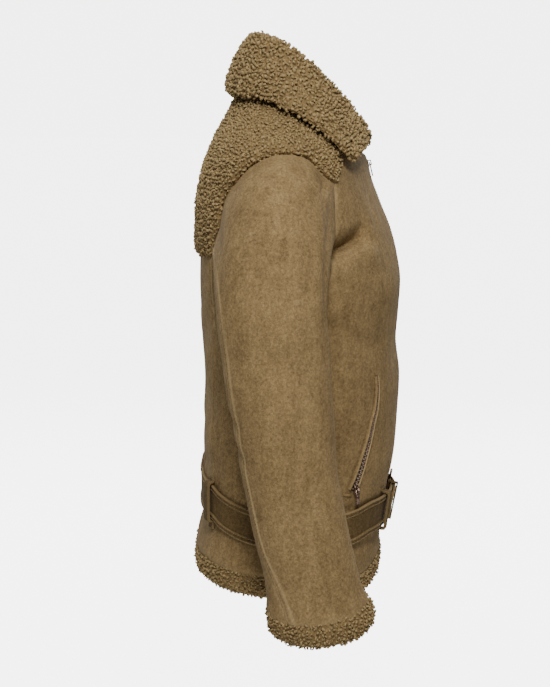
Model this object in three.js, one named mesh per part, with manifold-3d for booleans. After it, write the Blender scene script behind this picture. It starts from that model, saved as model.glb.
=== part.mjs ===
// Shearling jacket, filled out as worn, in millimetres.
// +Z is up, -Y is the front and +X is the wearer's left. The origin lies between the shoulders,
// at the base of the neck, where the wearer carries the jacket.
import * as THREE from 'three';
import { mergeVertices } from 'three/addons/utils/BufferGeometryUtils.js';
import Module from 'manifold-3d';

const wasm = await Module();
wasm.setup();

// Driving sizes
const WALL = 8;                 // suede skin with its clipped wool inside
const GAP = 0.3;                // between pieces at a seam
const YOKE_WOOL = 9;            // how far the wool of the yoke stands over the suede
const YOKE_EDGE_WOOL = 5;
const YOKE_INNER = 6;           // what lies inside the yoke's suede surface
const COLLAR_THICK = 13;
const COLLAR_FOLD_RADIUS = 8;
const COLLAR_FOLD_TURNS = [-80, -35, 35, 80];
const COLLAR_STAND_BULGE = -1.5;
const COLLAR_FALL_BULGE = 3;
const COLLAR_CLEAR = 0.9;       // between the stand and the neck seam
const NECK_STEP = 1;            // degrees, for the run of the neck seam
const ZIP_HALF = 4.6;           // half the opening between the front edges
const BELT_WIDTH = 42;
const BELT_THICK = 3.2;
const CUFF_CLEAR = 0.45;
const LOOP_THICK = 2.4;
const LOOP_ROOM = 2.2;
const ARMPIT_REACH = 7;         // from the sleeve's hinge line to the armpit
const ARMPIT_LEVEL = -236;
const ARMPIT_ANGLE = 94;
const ARC_RADIUS = 165;         // turns degrees round the body into lengths along it
const FRONT_CHEST_LEVEL = -250; // on the front edge, level with the armpit
const FRONT_YOKE_LEVEL = -66;   // and with the yoke's corner

const SUEDE = new THREE.Color(0x8a7350);
const WOOL = new THREE.Color(0xa08a68);
const LEATHER = new THREE.Color(0x7a6546);
const COPPER = new THREE.Color(0x6b4a35);

const table = (columns, rows) => rows.map(
  (row) => Object.fromEntries(columns.map((name, i) => [name, row[i]])),
);

// Plan sections of the body, a superellipse with its own front and back depth at each level
const TORSO = table(['level', 'halfWidth', 'front', 'back', 'frontPower', 'backPower'], [
  [-560, 203, 113, 111.5, 2.3, 3],
  [-515, 204, 115.5, 112, 2.3, 3],
  [-502, 202.5, 116, 112, 2.3, 3],
  [-490, 198, 116, 109, 2.3, 3],
  [-476, 193.5, 118, 104.6, 2.3, 3],
  [-460, 191, 121, 103, 2.3, 3],
  [-425, 191, 128, 103, 2.3, 3],
  [-390, 192, 134, 103, 2.3, 3],
  [-345, 192, 137, 103, 2.3, 3],
  [-300, 192, 139, 101, 2.3, 3],
  [-255, 194, 134.5, 104, 2.3, 3],
  [-220, 195, 137, 106, 2.3, 3],
  [-185, 197, 139, 107, 2.3, 3],
  [-150, 198, 134, 106, 2.15, 3],
  [-120, 198, 126, 105, 2, 3],
  [-90, 198, 114, 104, 1.85, 2.9],
  [-60, 197, 103, 99, 1.7, 2.8],
  [-36, 193, 97, 92, 1.5, 2.7],
  [-22, 183, 91, 87, 1.45, 2.6],
  [-10, 160, 86, 82, 1.4, 2.5],
  [5, 130, 77, 73, 1.4, 2.4],
  [20, 105, 64, 65, 1.45, 2.4],
  [34, 85, 50, 58, 1.5, 2.4],
  [48, 71, 34, 54, 1.7, 2.4],
  [64, 60, 20, 50, 1.9, 2.4],
]);

// Drag creases and fullness, as soft troughs (negative) and ridges (positive)
const BODY_FOLDS = table(['angleA', 'levelA', 'angleB', 'levelB', 'height', 'width'], [
  [76, -138, 57, -121, -9, 10],
  [74, -158, 55, -143, 4, 15],
  [74, -228, 58, -262, -3, 15],
  [128, -236, 150, -262, -3, 16],
  [126, -330, 146, -306, -2.5, 14],
  [122, -392, 150, -402, -3, 14],
  [174, -300, 160, -330, -2, 14],
]);

// Seams on the body as angle from the front and level
const ARM_FRONT = [
  [94, -236], [85, -226], [79, -195], [75.8, -155], [73.6, -130], [73, -112], [72.2, -90], [70.8, -59],
];
const ARM_TOP = [
  [70.8, -59], [75.6, -50.5], [81.8, -32], [86, -26.2], [90.5, -24.5], [95.7, -26], [99.3, -31],
  [104.4, -42], [109.4, -60], [112.4, -72], [114.4, -92.5], [115.5, -110], [117.8, -124], [119.2, -141],
];
const ARM_BACK = [[119.2, -141], [117, -175], [110, -212], [102, -231], [94, -236]];
const YOKE_BACK = [[119.2, -141], [123.5, -143], [140, -146], [160, -147.5], [180, -148]];
const YOKE_FRONT = [[70.8, -59], [66.5, -47], [64, -38], [56, 14]];
const SIDE_BACK_SEAM = [[122, -504.6], [124, -420], [125, -316], [121.5, -220], [123.5, -143]];
const SIDE_SEAM = [[95, -513], [94.5, -420], [94, -320], [94, -236]];
const NECK = table(['angle', 'level'], [
  [0, -30], [20, -25], [38, -10], [56, 14], [75, 34], [95, 45], [130, 52], [180, 55],
]);
const HEM = table(['angle', 'level'], [
  [0, -512], [20, -514], [42, -518], [59, -523], [75, -520], [95, -513], [110, -507.6],
  [122, -504.6], [140, -505.5], [180, -508],
]);
const BELT = table(['angle', 'level', 'stand'], [
  [0, -457, 2.5], [20, -456.5, 3.5], [40, -455, 4.5], [55, -455, 4.5], [66, -461, 4], [75, -464, 3],
  [95, -459.5, 2.5], [104, -454, 2.5], [116, -442, 2], [121, -436, 1.8], [140, -433, 1.5],
  [180, -434, 1.5],
]);

// Wool bands: how far each row lies below the seam, and its wool outside and inside
const HEM_BAND = table(['drop', 'outer', 'inner'], [
  [0, 1.5, -10], [6, 3.5, -12], [15, 4.5, -12.5], [24, 1.5, -11], [29, -4, -9],
]);
const CUFF = table(['drop', 'forward', 'outer', 'inner'], [
  [0, 0, 1.5, -12], [6, -2.5, 3.5, -14], [15, -4.5, 4.5, -14.5], [24, -5.5, 1, -13], [29, -6, -4.5, -10],
]);

// Collar from the centre back to its front end, by the angle of the neck seam it stands on:
// the middle of the fold, and where the edge of the fall lies over the body
const COLLAR = table(['angle', 'foldX', 'foldY', 'foldZ', 'edgeAngle', 'edgeLevel', 'edgeLift'], [
  [180, 0, 37, 108.5, 180, 44, 15],
  [150, 34, 34, 109, 148, 37, 15],
  [125, 58, 20, 105.5, 123, 29.5, 15.5],
  [100, 74, -1, 94, 106, 24, 16.5],
  [80, 80, -24, 76, 94, 14, 16.5],
  [60, 77, -49, 52, 82.5, -1, 15.5],
  [40, 63, -73, 26, 75, -15, 15],
  [22, 42, -90, 4, 68, -31, 15],
  [8, 22, -100, -14, 61, -39, 15],
]);

// Sleeve: rings turned about the armpit, from the armhole to where it hangs
const CAP = table(['turn', 'reach', 'y', 'depth', 'backSeam', 'roundness'], [
  [0, 218.5, 16, 70, -80, 0],
  [10, 205, 17, 69, -78, 0.08],
  [22, 183, 18, 67, -76, 0.25],
  [36, 159, 18.5, 65, -74, 0.5],
  [52, 138, 18, 63, -72, 0.78],
  [70, 122, 16.5, 62, -70, 0.96],
]);
const SLEEVE = table(['level', 'x', 'y', 'lateral', 'depth', 'turn', 'backSeam', 'tilt'], [
  [-244, 255, 14, 52.5, 60.5, 88, -70, 0],
  [-280, 259, 11, 52.5, 59, 88, -70, 0],
  [-320, 263, 6, 52, 57, 88, -70, 0],
  [-360, 268, 1, 51.5, 55, 89, -70, 0],
  [-400, 273, -6, 51, 53.5, 91, -69, 0],
  [-440, 278, -14, 50, 53, 94, -66, 0],
  [-480, 282.5, -24, 49, 52, 97, -52, 0.05],
  [-502, 284.5, -28.5, 49.5, 53, 98.5, -43, 0.08],
  [-519, 286, -32, 52.5, 57, 100, -36, 0.1],
]);

// Slanted pocket zip on each front, from its upper end down to the slider
const POCKET = [
  [53.6, -285.5], [53.2, -297], [53.3, -312], [54.1, -326], [55.8, -340], [57.2, -355],
  [58.8, -369], [60.6, -383], [62.3, -397], [63.8, -409], [65, -418],
];
const POCKET_TAB = [[65.9, -422.8], [68, -422], [70, -419.8]];
const POCKET_STEPS = 10;
const STRIP_STAND = 0.6;         // of what is laid on a panel, over its surface
const POCKET_ZIP_HALF = 2.8;
const POCKET_ZIP_HEIGHT = 2;
const LIP_INNER = POCKET_ZIP_HALF + GAP;
const FRONT_LIP_OUTER = LIP_INNER + 3;
const BACK_LIP_OUTER = LIP_INNER + 6.5;
const LIP_HEIGHT = 3;
const TAB_WIDTH = 3.5;

const SLIDER = {
  half: 3.6, top: 5, foot: -5.5, thick: 2.6, bridgeHalf: 1.3, bridgeLong: 3.4, bridgeHigh: 3.9,
  bar: 1.1, sill: 0.4, narrow: 0.6, shoulder: 2,
};
const PULL = {
  half: 3.1, long: 17, rod: 1.4, windowHalf: 1.9, windowLong: 5.2, thick: 1.3, waist: 0.55, tip: 0.75,
};
const FRONT_SLIDER_LEVEL = -42;
const POCKET_SLIDER_UP = 3;
const FRONT_ZIP_STEPS = 20;
const ZIP_SUNK = 1.5;
const ZIP_THICK = 4;

const LOOPS = table(['angle', 'width', 'above', 'below', 'foot'], [
  [41, 10, 3.5, 2.5, 0.5],
  [122.8, 13, 4, 9, 1.2],
]);
const LOOP_NAMES = ['front', 'back'];
const BELT_START = 3;           // degrees from the centre front towards the wearer's right
const BELT_END = 388;
const BELT_RAMP_START = 347;
const BELT_RAMP_END = 360;
const BELT_OVERLAP = 4.4;
const BUCKLE = {
  near: 4, far: 34, halfHigh: 27, rod: 3, stand: 0.3, tilt: 6.5,
  prong: 1.8, prongHalf: 1.5, prongStand: 8, prongTilt: 1.5,
};
const KEEPER = { angle: 15, halfAngle: 2, thick: 1.6, room: 0.8 };

// Grid counts
const FRONT_COLUMNS = 12;
const SIDE_ROWS = 8;
const ARM_FRONT_ROWS = 12;
const YOKE_FRONT_ROWS = 7;
const YOKE_NECK_CORNER = 130;    // angle on the neck that faces the yoke's lower corner
const FRONT_SEAM_STEP = 4;       // where the sleeve's front seam meets the armhole
const FRONT_SEAM_TURN = 125;     // and where it lies round the hanging sleeve
const ARM_TOP_STEPS = 10;
const ARM_BACK_STEPS = 6;
const YOKE_BACK_STEPS = 6;
const SIDE_BACK_COLUMNS = 4;
const FRONT_NECK_STEPS = 5;
const BELT_STEPS = 76;

const rad = THREE.MathUtils.degToRad;
const lerp = THREE.MathUtils.lerp;

// A smooth column of a table, with slopes that never overshoot
function smoothColumn(rows, along, column) {
  const order = [...rows].sort((p, q) => p[along] - q[along]);
  const s = order.map((row) => row[along]);
  const v = order.map((row) => row[column]);
  const last = s.length - 1;
  const secant = (i) => (v[i + 1] - v[i]) / (s[i + 1] - s[i]);
  const slope = v.map((_, i) => {
    if (i === 0) return secant(0);
    if (i === last) return secant(last - 1);
    const before = secant(i - 1);
    const after = secant(i);
    return before * after <= 0 ? 0 : 2 * before * after / (before + after);
  });
  return (q) => {
    const at = Math.min(Math.max(q, s[0]), s[last]);
    let i = 0;
    while (i < last - 1 && at > s[i + 1]) i += 1;
    const h = s[i + 1] - s[i];
    const t = (at - s[i]) / h;
    const rise = t * t * (3 - 2 * t);
    return v[i] + (v[i + 1] - v[i]) * rise
      + h * slope[i] * t * (1 - t) * (1 - t) - h * slope[i + 1] * t * t * (1 - t);
  };
}

const halfWidthAt = smoothColumn(TORSO, 'level', 'halfWidth');
const frontAt = smoothColumn(TORSO, 'level', 'front');
const backAt = smoothColumn(TORSO, 'level', 'back');
const frontPowerAt = smoothColumn(TORSO, 'level', 'frontPower');
const backPowerAt = smoothColumn(TORSO, 'level', 'backPower');
const neckLevel = smoothColumn(NECK, 'angle', 'level');
const hemLevel = smoothColumn(HEM, 'angle', 'level');
const beltLevel = smoothColumn(BELT, 'angle', 'level');
const beltStand = smoothColumn(BELT, 'angle', 'stand');

// Angles run from 0 at the centre front by the wearer's left to 180 at the centre back
const foldedAngle = (angle) => Math.abs(((angle + 540) % 360) - 180);

function foldHeight(angle, level) {
  const across = (degrees) => rad(degrees) * ARC_RADIUS;
  let height = 0;
  for (const fold of BODY_FOLDS) {
    const ax = across(fold.angleA);
    const bx = across(fold.angleB);
    const px = across(foldedAngle(angle)) - ax;
    const pz = level - fold.levelA;
    const dx = bx - ax;
    const dz = fold.levelB - fold.levelA;
    const t = Math.min(Math.max((px * dx + pz * dz) / (dx * dx + dz * dz), 0), 1);
    const far = Math.hypot(px - t * dx, pz - t * dz) / fold.width;
    height += fold.height * Math.exp(-far * far);
  }
  return height;
}

function plainSkin(angle, level) {
  const sine = Math.sin(rad(angle));
  const cosine = Math.cos(rad(angle));
  const power = cosine > 0 ? frontPowerAt(level) : backPowerAt(level);
  const depth = cosine > 0 ? frontAt(level) : backAt(level);
  const sum = Math.abs(sine / halfWidthAt(level)) ** power + Math.abs(cosine / depth) ** power;
  const radius = sum ** (-1 / power);
  return new THREE.Vector3(radius * sine, -radius * cosine, level);
}

function skinNormal(angle, level) {
  const step = 0.8;
  const around = plainSkin(angle + step, level).sub(plainSkin(angle - step, level));
  const up = plainSkin(angle, level + step).sub(plainSkin(angle, level - step));
  return around.cross(up).normalize();
}

// A point of the body's suede surface, moved out by lift
function skin(angle, level, lift = 0) {
  return plainSkin(angle, level).addScaledVector(
    skinNormal(angle, level), foldHeight(angle, level) + lift,
  );
}

// Points at even steps along a seam, and every share of a straight run
function seamSteps(points, steps) {
  const curve = new THREE.CatmullRomCurve3(
    points.map(([angle, level]) => new THREE.Vector3(rad(angle) * ARC_RADIUS, level, 0)),
    false, 'centripetal',
  );
  return Array.from({ length: steps + 1 }, (_, i) => {
    const at = curve.getPointAt(i / steps);
    return [THREE.MathUtils.radToDeg(at.x / ARC_RADIUS), at.y];
  });
}

const spread = (from, to, steps) => Array.from({ length: steps + 1 }, (_, i) => lerp(from, to, i / steps));

// Rows of points between four shared edges
function patch(bottom, top, left, right) {
  const columns = bottom.length - 1;
  const rows = left.length - 1;
  return left.map((_, j) => bottom.map((__, i) => [0, 1].map((k) => {
    const u = i / columns;
    const v = j / rows;
    const edges = (1 - v) * bottom[i][k] + v * top[i][k] + (1 - u) * left[j][k] + u * right[j][k];
    const corners = (1 - u) * (1 - v) * bottom[0][k] + u * (1 - v) * bottom[columns][k]
      + (1 - u) * v * top[0][k] + u * v * top[columns][k];
    return edges - corners;
  })));
}

// A closed wall between an outer and an inner grid of points
function wall(outer, inner, around = false) {
  const rows = outer.length;
  const columns = outer[0].length;
  const points = [...outer.flat(), ...inner.flat()];
  const at = (j, i) => j * columns + (i % columns);
  const back = (j, i) => rows * columns + at(j, i);
  const faces = [];
  const quad = (a, b, c, d) => faces.push(a, b, c, a, c, d);
  const lastColumn = around ? columns : columns - 1;
  for (let j = 0; j < rows - 1; j += 1) {
    for (let i = 0; i < lastColumn; i += 1) {
      quad(at(j, i), at(j, i + 1), at(j + 1, i + 1), at(j + 1, i));
      quad(back(j, i), back(j + 1, i), back(j + 1, i + 1), back(j, i + 1));
    }
    if (!around) {
      quad(at(j, 0), at(j + 1, 0), back(j + 1, 0), back(j, 0));
      quad(at(j, lastColumn), back(j, lastColumn), back(j + 1, lastColumn), at(j + 1, lastColumn));
    }
  }
  for (let i = 0; i < lastColumn; i += 1) {
    quad(at(0, i), back(0, i), back(0, i + 1), at(0, i + 1));
    quad(at(rows - 1, i), at(rows - 1, i + 1), back(rows - 1, i + 1), back(rows - 1, i));
  }
  return closedMesh(points, faces);
}

function closedMesh(points, faces) {
  let volume = 0;
  for (let f = 0; f < faces.length; f += 3) {
    const [a, b, c] = [0, 1, 2].map((k) => points[faces[f + k]]);
    volume += a.dot(b.clone().cross(c));
  }
  const order = volume > 0 ? faces : faces.toReversed();
  const geometry = new THREE.BufferGeometry();
  geometry.setAttribute('position', new THREE.Float32BufferAttribute(points.flatMap((p) => p.toArray()), 3));
  geometry.setIndex(order);
  geometry.computeVertexNormals();
  return geometry;
}

// The free edges of a grid pulled in by half a seam's gap
function pullEdges(grid, around = false, half = GAP / 2) {
  const rows = grid.length;
  const columns = grid[0].length;
  const toward = (p, q) => p.clone().addScaledVector(q.clone().sub(p).normalize(), half);
  const inRows = grid.map((row, j) => row.map((p, i) => {
    if (j === 0) return toward(p, grid[1][i]);
    if (j === rows - 1) return toward(p, grid[rows - 2][i]);
    return p.clone();
  }));
  if (around) return inRows;
  return inRows.map((row) => row.map((p, i) => {
    if (i === 0) return toward(p, row[1]);
    if (i === columns - 1) return toward(p, row[columns - 2]);
    return p;
  }));
}

const group = new THREE.Group();

function add(name, geometry, color, roughness = 0.95, metalness = 0) {
  const mesh = new THREE.Mesh(geometry, new THREE.MeshStandardMaterial({ color, roughness, metalness }));
  mesh.name = name;
  group.add(mesh);
  return mesh;
}

const SIDES = [{ name: 'R', sign: -1 }, { name: 'L', sign: 1 }];
const mirrored = (angles, sign) => angles.map((row) => row.map(([a, z]) => [sign * a, z]));

// A panel of the body: its grid of angles and levels becomes a wall
function bodyPanel(name, angles, color, outerLift = () => 0, depth = WALL, pulled = GAP / 2) {
  const outer = angles.map((row, j) => row.map(([a, z], i) => skin(a, z, outerLift(j, i))));
  const inner = angles.map((row) => row.map(([a, z]) => skin(a, z, -depth)));
  return add(name, wall(pullEdges(outer, false, pulled), pullEdges(inner, false, pulled)), color);
}

// Seams sampled once, so that neighbours share their points
const armFront = seamSteps(ARM_FRONT, ARM_FRONT_ROWS);
const armTop = seamSteps(ARM_TOP, ARM_TOP_STEPS);
const armBack = seamSteps(ARM_BACK, ARM_BACK_STEPS);
const yokeFrontEdge = seamSteps(YOKE_FRONT, YOKE_FRONT_ROWS);
const sideSeam = seamSteps(SIDE_SEAM, SIDE_ROWS);
const backRows = SIDE_ROWS + ARM_BACK_STEPS;
const sideBackSeam = seamSteps(SIDE_BACK_SEAM, backRows);
const yokeBackEdge = [YOKE_BACK[0], ...seamSteps(YOKE_BACK.slice(1), YOKE_BACK_STEPS - 1)];
const neckPoint = (angle) => [angle, neckLevel(foldedAngle(angle))];
const hemPoint = (angle) => [angle, hemLevel(foldedAngle(angle))];
const frontEdgeAngle = (level) => THREE.MathUtils.radToDeg(Math.atan2(ZIP_HALF, frontAt(level)));

// Fronts, from the centre front to the side seam, the armhole and the yoke
const frontRight = [...sideSeam, ...armFront.slice(1), ...yokeFrontEdge.slice(1)];
const frontEdgeLevels = [
  ...spread(hemLevel(0), FRONT_CHEST_LEVEL, SIDE_ROWS),
  ...spread(FRONT_CHEST_LEVEL, FRONT_YOKE_LEVEL, ARM_FRONT_ROWS).slice(1),
  ...spread(FRONT_YOKE_LEVEL, neckLevel(0), YOKE_FRONT_ROWS).slice(1),
];
const frontEdge = frontEdgeLevels.map((level) => [frontEdgeAngle(level), level]);
const frontHem = spread(frontEdgeAngle(hemLevel(0)), SIDE_SEAM[0][0], FRONT_COLUMNS).map(hemPoint);
const frontNeck = spread(frontEdgeAngle(neckLevel(0)), NECK[3].angle, FRONT_COLUMNS).map(neckPoint);
const frontGrid = patch(frontHem, frontNeck, frontEdge, frontRight);
for (const side of SIDES) bodyPanel(`front_${side.name}`, mirrored(frontGrid, side.sign), SUEDE);

// Side backs, from the side seam and the armhole to the side-back seam
const sideBackLeft = [...sideSeam, ...armBack.toReversed().slice(1)];
const sideBackHem = spread(SIDE_SEAM[0][0], SIDE_BACK_SEAM[0][0], SIDE_BACK_COLUMNS).map(hemPoint);
const sideBackTop = spread(0, 1, SIDE_BACK_COLUMNS).map(
  (t) => [lerp(yokeBackEdge[0][0], yokeBackEdge[1][0], t), lerp(yokeBackEdge[0][1], yokeBackEdge[1][1], t)],
);
const sideBackGrid = patch(sideBackHem, sideBackTop, sideBackLeft, sideBackSeam);
for (const side of SIDES) bodyPanel(`side_back_${side.name}`, mirrored(sideBackGrid, side.sign), SUEDE);

// Back, between the two side-back seams
const acrossBack = (half) => [...half, ...half.slice(0, -1).toReversed().map(([a, z]) => [360 - a, z])];
const backHalfHem = spread(SIDE_BACK_SEAM[0][0], 180, YOKE_BACK_STEPS - 1).map(hemPoint);
const backGrid = patch(
  acrossBack(backHalfHem), acrossBack(yokeBackEdge.slice(1)),
  sideBackSeam, sideBackSeam.map(([a, z]) => [360 - a, z]),
);
bodyPanel('back', backGrid, SUEDE);

// Yoke, one piece over the back and both shoulders, wool side out
const yokeOuterHalf = [...armTop, ...yokeBackEdge.slice(1)];
const yokeNeckHalf = [
  ...spread(NECK[3].angle, YOKE_NECK_CORNER, ARM_TOP_STEPS),
  ...spread(YOKE_NECK_CORNER, 180, YOKE_BACK_STEPS).slice(1),
].map(neckPoint);
const yokeGrid = patch(
  acrossBack(yokeOuterHalf), acrossBack(yokeNeckHalf),
  yokeFrontEdge, yokeFrontEdge.map(([a, z]) => [360 - a, z]),
);
const yokeLift = (j, i) => {
  if (j === yokeGrid.length - 1) return 0;
  const edge = j === 0 || i === 0 || i === yokeGrid[0].length - 1;
  return edge ? YOKE_EDGE_WOOL : YOKE_WOOL;
};
bodyPanel('yoke', yokeGrid, WOOL, yokeLift, YOKE_INNER, GAP);

// Hem band, wool side out, from the front zip round the back
const bandHalf = [...frontHem, ...sideBackHem.slice(1), ...backHalfHem.slice(1)];
const bandTop = acrossBack(bandHalf);
const bandGrid = (liftColumn) => HEM_BAND.map(
  (row) => bandTop.map(([a, z]) => skin(a, z - row.drop, row[liftColumn])),
);
add('hem_band', wall(pullEdges(bandGrid('outer')), pullEdges(bandGrid('inner'))), WOOL);

// Collar: stand, fold and fall of one thick strip
const collarBase = [
  ...spread(COLLAR[COLLAR.length - 1].angle, NECK[3].angle, FRONT_NECK_STEPS).map(neckPoint),
  ...yokeNeckHalf.slice(1),
];
const collarColumn = Object.fromEntries(
  ['foldX', 'foldY', 'foldZ', 'edgeAngle', 'edgeLevel', 'edgeLift'].map(
    (column) => [column, smoothColumn(COLLAR, 'angle', column)],
  ),
);

function collarStation([angle, level]) {
  const at = (column) => collarColumn[column](angle);
  const fold = new THREE.Vector3(at('foldX'), at('foldY'), at('foldZ'));
  const edge = skin(at('edgeAngle'), at('edgeLevel'), at('edgeLift'));
  const neck = skin(angle, level);
  const along = skin(angle - NECK_STEP, neckLevel(angle - NECK_STEP)).sub(skin(angle, level));
  const inward = new THREE.Vector3(along.y, -along.x, 0).normalize();
  const base = neck.clone().addScaledVector(inward, COLLAR_THICK / 2 + COLLAR_CLEAR).setZ(neck.z + 2 * GAP);
  const toEdge = edge.clone().sub(fold).normalize();
  const toBase = base.clone().sub(fold).normalize();
  const down = toEdge.clone().add(toBase).normalize();
  const out = toEdge.clone().sub(toBase).normalize();
  const turn = (degrees) => fold.clone()
    .addScaledVector(down, COLLAR_FOLD_RADIUS * (1 - Math.cos(rad(degrees))))
    .addScaledVector(out, COLLAR_FOLD_RADIUS * Math.sin(rad(degrees)));
  const bulge = (p, q, t, size) => p.clone().lerp(q, t).addScaledVector(out, size);
  const folded = COLLAR_FOLD_TURNS.map(turn);
  const line = [
    base, bulge(base, folded[0], 0.5, COLLAR_STAND_BULGE), ...folded,
    bulge(folded[3], edge, 0.35, COLLAR_FALL_BULGE), bulge(folded[3], edge, 0.72, COLLAR_FALL_BULGE), edge,
  ];
  const across = out.clone().cross(down).normalize();
  return line.map((p, k) => {
    const next = line[Math.min(k + 1, line.length - 1)];
    const tangent = next.clone().sub(line[Math.max(k - 1, 0)]).normalize();
    const normal = across.clone().cross(tangent).normalize();
    return { p, normal };
  });
}

function collarGrid(offset) {
  const half = collarBase.map(collarStation);
  const mirror = (v) => new THREE.Vector3(-v.x, v.y, v.z);
  const mirrorStation = (row) => row.map(({ p, normal }) => ({ p: mirror(p), normal: mirror(normal) }));
  const stations = [...half, ...half.slice(0, -1).toReversed().map(mirrorStation)];
  const lay = ({ p, normal }) => p.clone().addScaledVector(normal, offset);
  return half[0].map((_, k) => stations.map((row) => lay(row[k])));
}
add('collar', wall(collarGrid(COLLAR_THICK / 2), collarGrid(-COLLAR_THICK / 2)), WOOL);

// Sleeve: rings that turn about the armpit from the armhole, then hang
const armhole = [
  ...armFront.slice(FRONT_SEAM_STEP), ...armTop.slice(1), ...armBack.slice(1),
  ...armFront.slice(1, FRONT_SEAM_STEP),
];
const BACK_SEAM_STEP = ARM_FRONT_ROWS - FRONT_SEAM_STEP + ARM_TOP_STEPS;
const armPoints = armhole.map(([a, z]) => skin(a, z));
const armpit = skin(ARMPIT_ANGLE, ARMPIT_LEVEL);
const hinge = new THREE.Vector3(armpit.x, 0, armpit.z - ARMPIT_REACH);
const armReach = CAP[0].reach;

function ringAngle(step, backSeam) {
  if (step <= BACK_SEAM_STEP) return lerp(FRONT_SEAM_TURN, backSeam, step / BACK_SEAM_STEP);
  const rest = (step - BACK_SEAM_STEP) / (armhole.length - BACK_SEAM_STEP);
  return lerp(backSeam, FRONT_SEAM_TURN - 360, rest);
}

function sleeveRing(turn, centre, lateral, depth, backSeam, roundness, tilt = 0) {
  const up = new THREE.Vector3(Math.sin(rad(turn)), 0, Math.cos(rad(turn)));
  const out = new THREE.Vector3(Math.cos(rad(turn)), 0, -Math.sin(rad(turn)));
  return armPoints.map((arm, step) => {
    const angle = rad(ringAngle(step, backSeam));
    const armHigh = 2 * (arm.z - hinge.z - ARMPIT_REACH) / (armReach - ARMPIT_REACH) - 1;
    const armDeep = (arm.y - CAP[0].y) / CAP[0].depth;
    const high = lerp(armHigh, Math.cos(angle), roundness) * lateral;
    const deep = lerp(armDeep, -Math.sin(angle), roundness) * depth;
    return centre.clone().addScaledVector(up, high)
      .addScaledVector(out, (arm.x - hinge.x) * (1 - roundness))
      .add(new THREE.Vector3(0, deep, -deep * tilt));
  });
}

function capRing(row) {
  const up = new THREE.Vector3(Math.sin(rad(row.turn)), 0, Math.cos(rad(row.turn)));
  const centre = hinge.clone().addScaledVector(up, (row.reach + ARMPIT_REACH) / 2).setY(row.y);
  return sleeveRing(row.turn, centre, (row.reach - ARMPIT_REACH) / 2, row.depth, row.backSeam, row.roundness);
}

const hangingRing = (row) => sleeveRing(
  row.turn, new THREE.Vector3(row.x, row.y, row.level), row.lateral, row.depth, row.backSeam, 1, row.tilt,
);

function gridNormals(grid) {
  const rows = grid.length;
  const columns = grid[0].length;
  return grid.map((row, j) => row.map((_, i) => {
    const along = grid[Math.min(j + 1, rows - 1)][i].clone().sub(grid[Math.max(j - 1, 0)][i]);
    const round = row[(i + 1) % columns].clone().sub(row[(i + columns - 1) % columns]);
    return along.cross(round).normalize();
  }));
}

const lifted = (grid, normals, lift) => grid.map(
  (row, j) => row.map((p, i) => p.clone().addScaledVector(normals[j][i], lift(j))),
);
const mirrorX = (grid, sign) => grid.map((row) => row.map((p) => new THREE.Vector3(sign * p.x, p.y, p.z)));

const sleeveOuter = [...CAP.map(capRing), ...SLEEVE.map(hangingRing)];
sleeveOuter[0] = sleeveOuter[0].map((p, i) => p.clone().addScaledVector(
  sleeveOuter[1][i].clone().sub(p).normalize(), 2 * GAP,
));
const sleeveNormals = gridNormals(sleeveOuter);
const sleeveInner = lifted(sleeveOuter, sleeveNormals, () => -WALL);
const columnsOf = (grid, from, to) => grid.map(
  (row) => spread(from, to, to - from).map((i) => row[Math.round(i) % row.length]),
);
const sleeveRows = CAP.length + SLEEVE.length;
const wrist = SLEEVE[SLEEVE.length - 1];
const cuffRings = CUFF.map(
  (row) => hangingRing({ ...wrist, level: wrist.level - row.drop, y: wrist.y + row.forward }),
);
const cuffNormals = gridNormals([sleeveOuter[sleeveRows - 2], ...cuffRings]).slice(1);
cuffNormals[0] = sleeveNormals[sleeveRows - 1];
const cuffOuter = lifted(cuffRings, cuffNormals, (j) => CUFF[j].outer);
const cuffInner = lifted(cuffRings, cuffNormals, (j) => CUFF[j].inner);

for (const side of SIDES) {
  const pieces = [
    ['top', 0, BACK_SEAM_STEP],
    ['under', BACK_SEAM_STEP, armhole.length],
  ];
  for (const [piece, from, to] of pieces) {
    const outer = pullEdges(columnsOf(mirrorX(sleeveOuter, side.sign), from, to));
    const inner = pullEdges(columnsOf(mirrorX(sleeveInner, side.sign), from, to));
    add(`sleeve_${piece}_${side.name}`, wall(outer, inner), SUEDE);
  }
  const outer = pullEdges(mirrorX(cuffOuter, side.sign), true, CUFF_CLEAR);
  const inner = pullEdges(mirrorX(cuffInner, side.sign), true, CUFF_CLEAR);
  add(`cuff_${side.name}`, wall(outer, inner, true), WOOL);
}

// Belt: one strap round the waist, its tail through the buckle and over its start
const beltCentre = (angle) => beltLevel(foldedAngle(angle));
const beltRise = (angle) => {
  const t = THREE.MathUtils.clamp((angle - BELT_RAMP_START) / (BELT_RAMP_END - BELT_RAMP_START), 0, 1);
  return BELT_OVERLAP * t * t * (3 - 2 * t);
};
const beltAngles = spread(BELT_START, BELT_END, BELT_STEPS);
const beltGrid = (extra) => [-0.5, 0.5].map((edge) => beltAngles.map((angle) => skin(
  -angle, beltCentre(angle) + edge * BELT_WIDTH, beltStand(foldedAngle(angle)) + beltRise(angle) + extra,
)));
add('belt', wall(beltGrid(BELT_THICK), beltGrid(0)), LEATHER);

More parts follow.
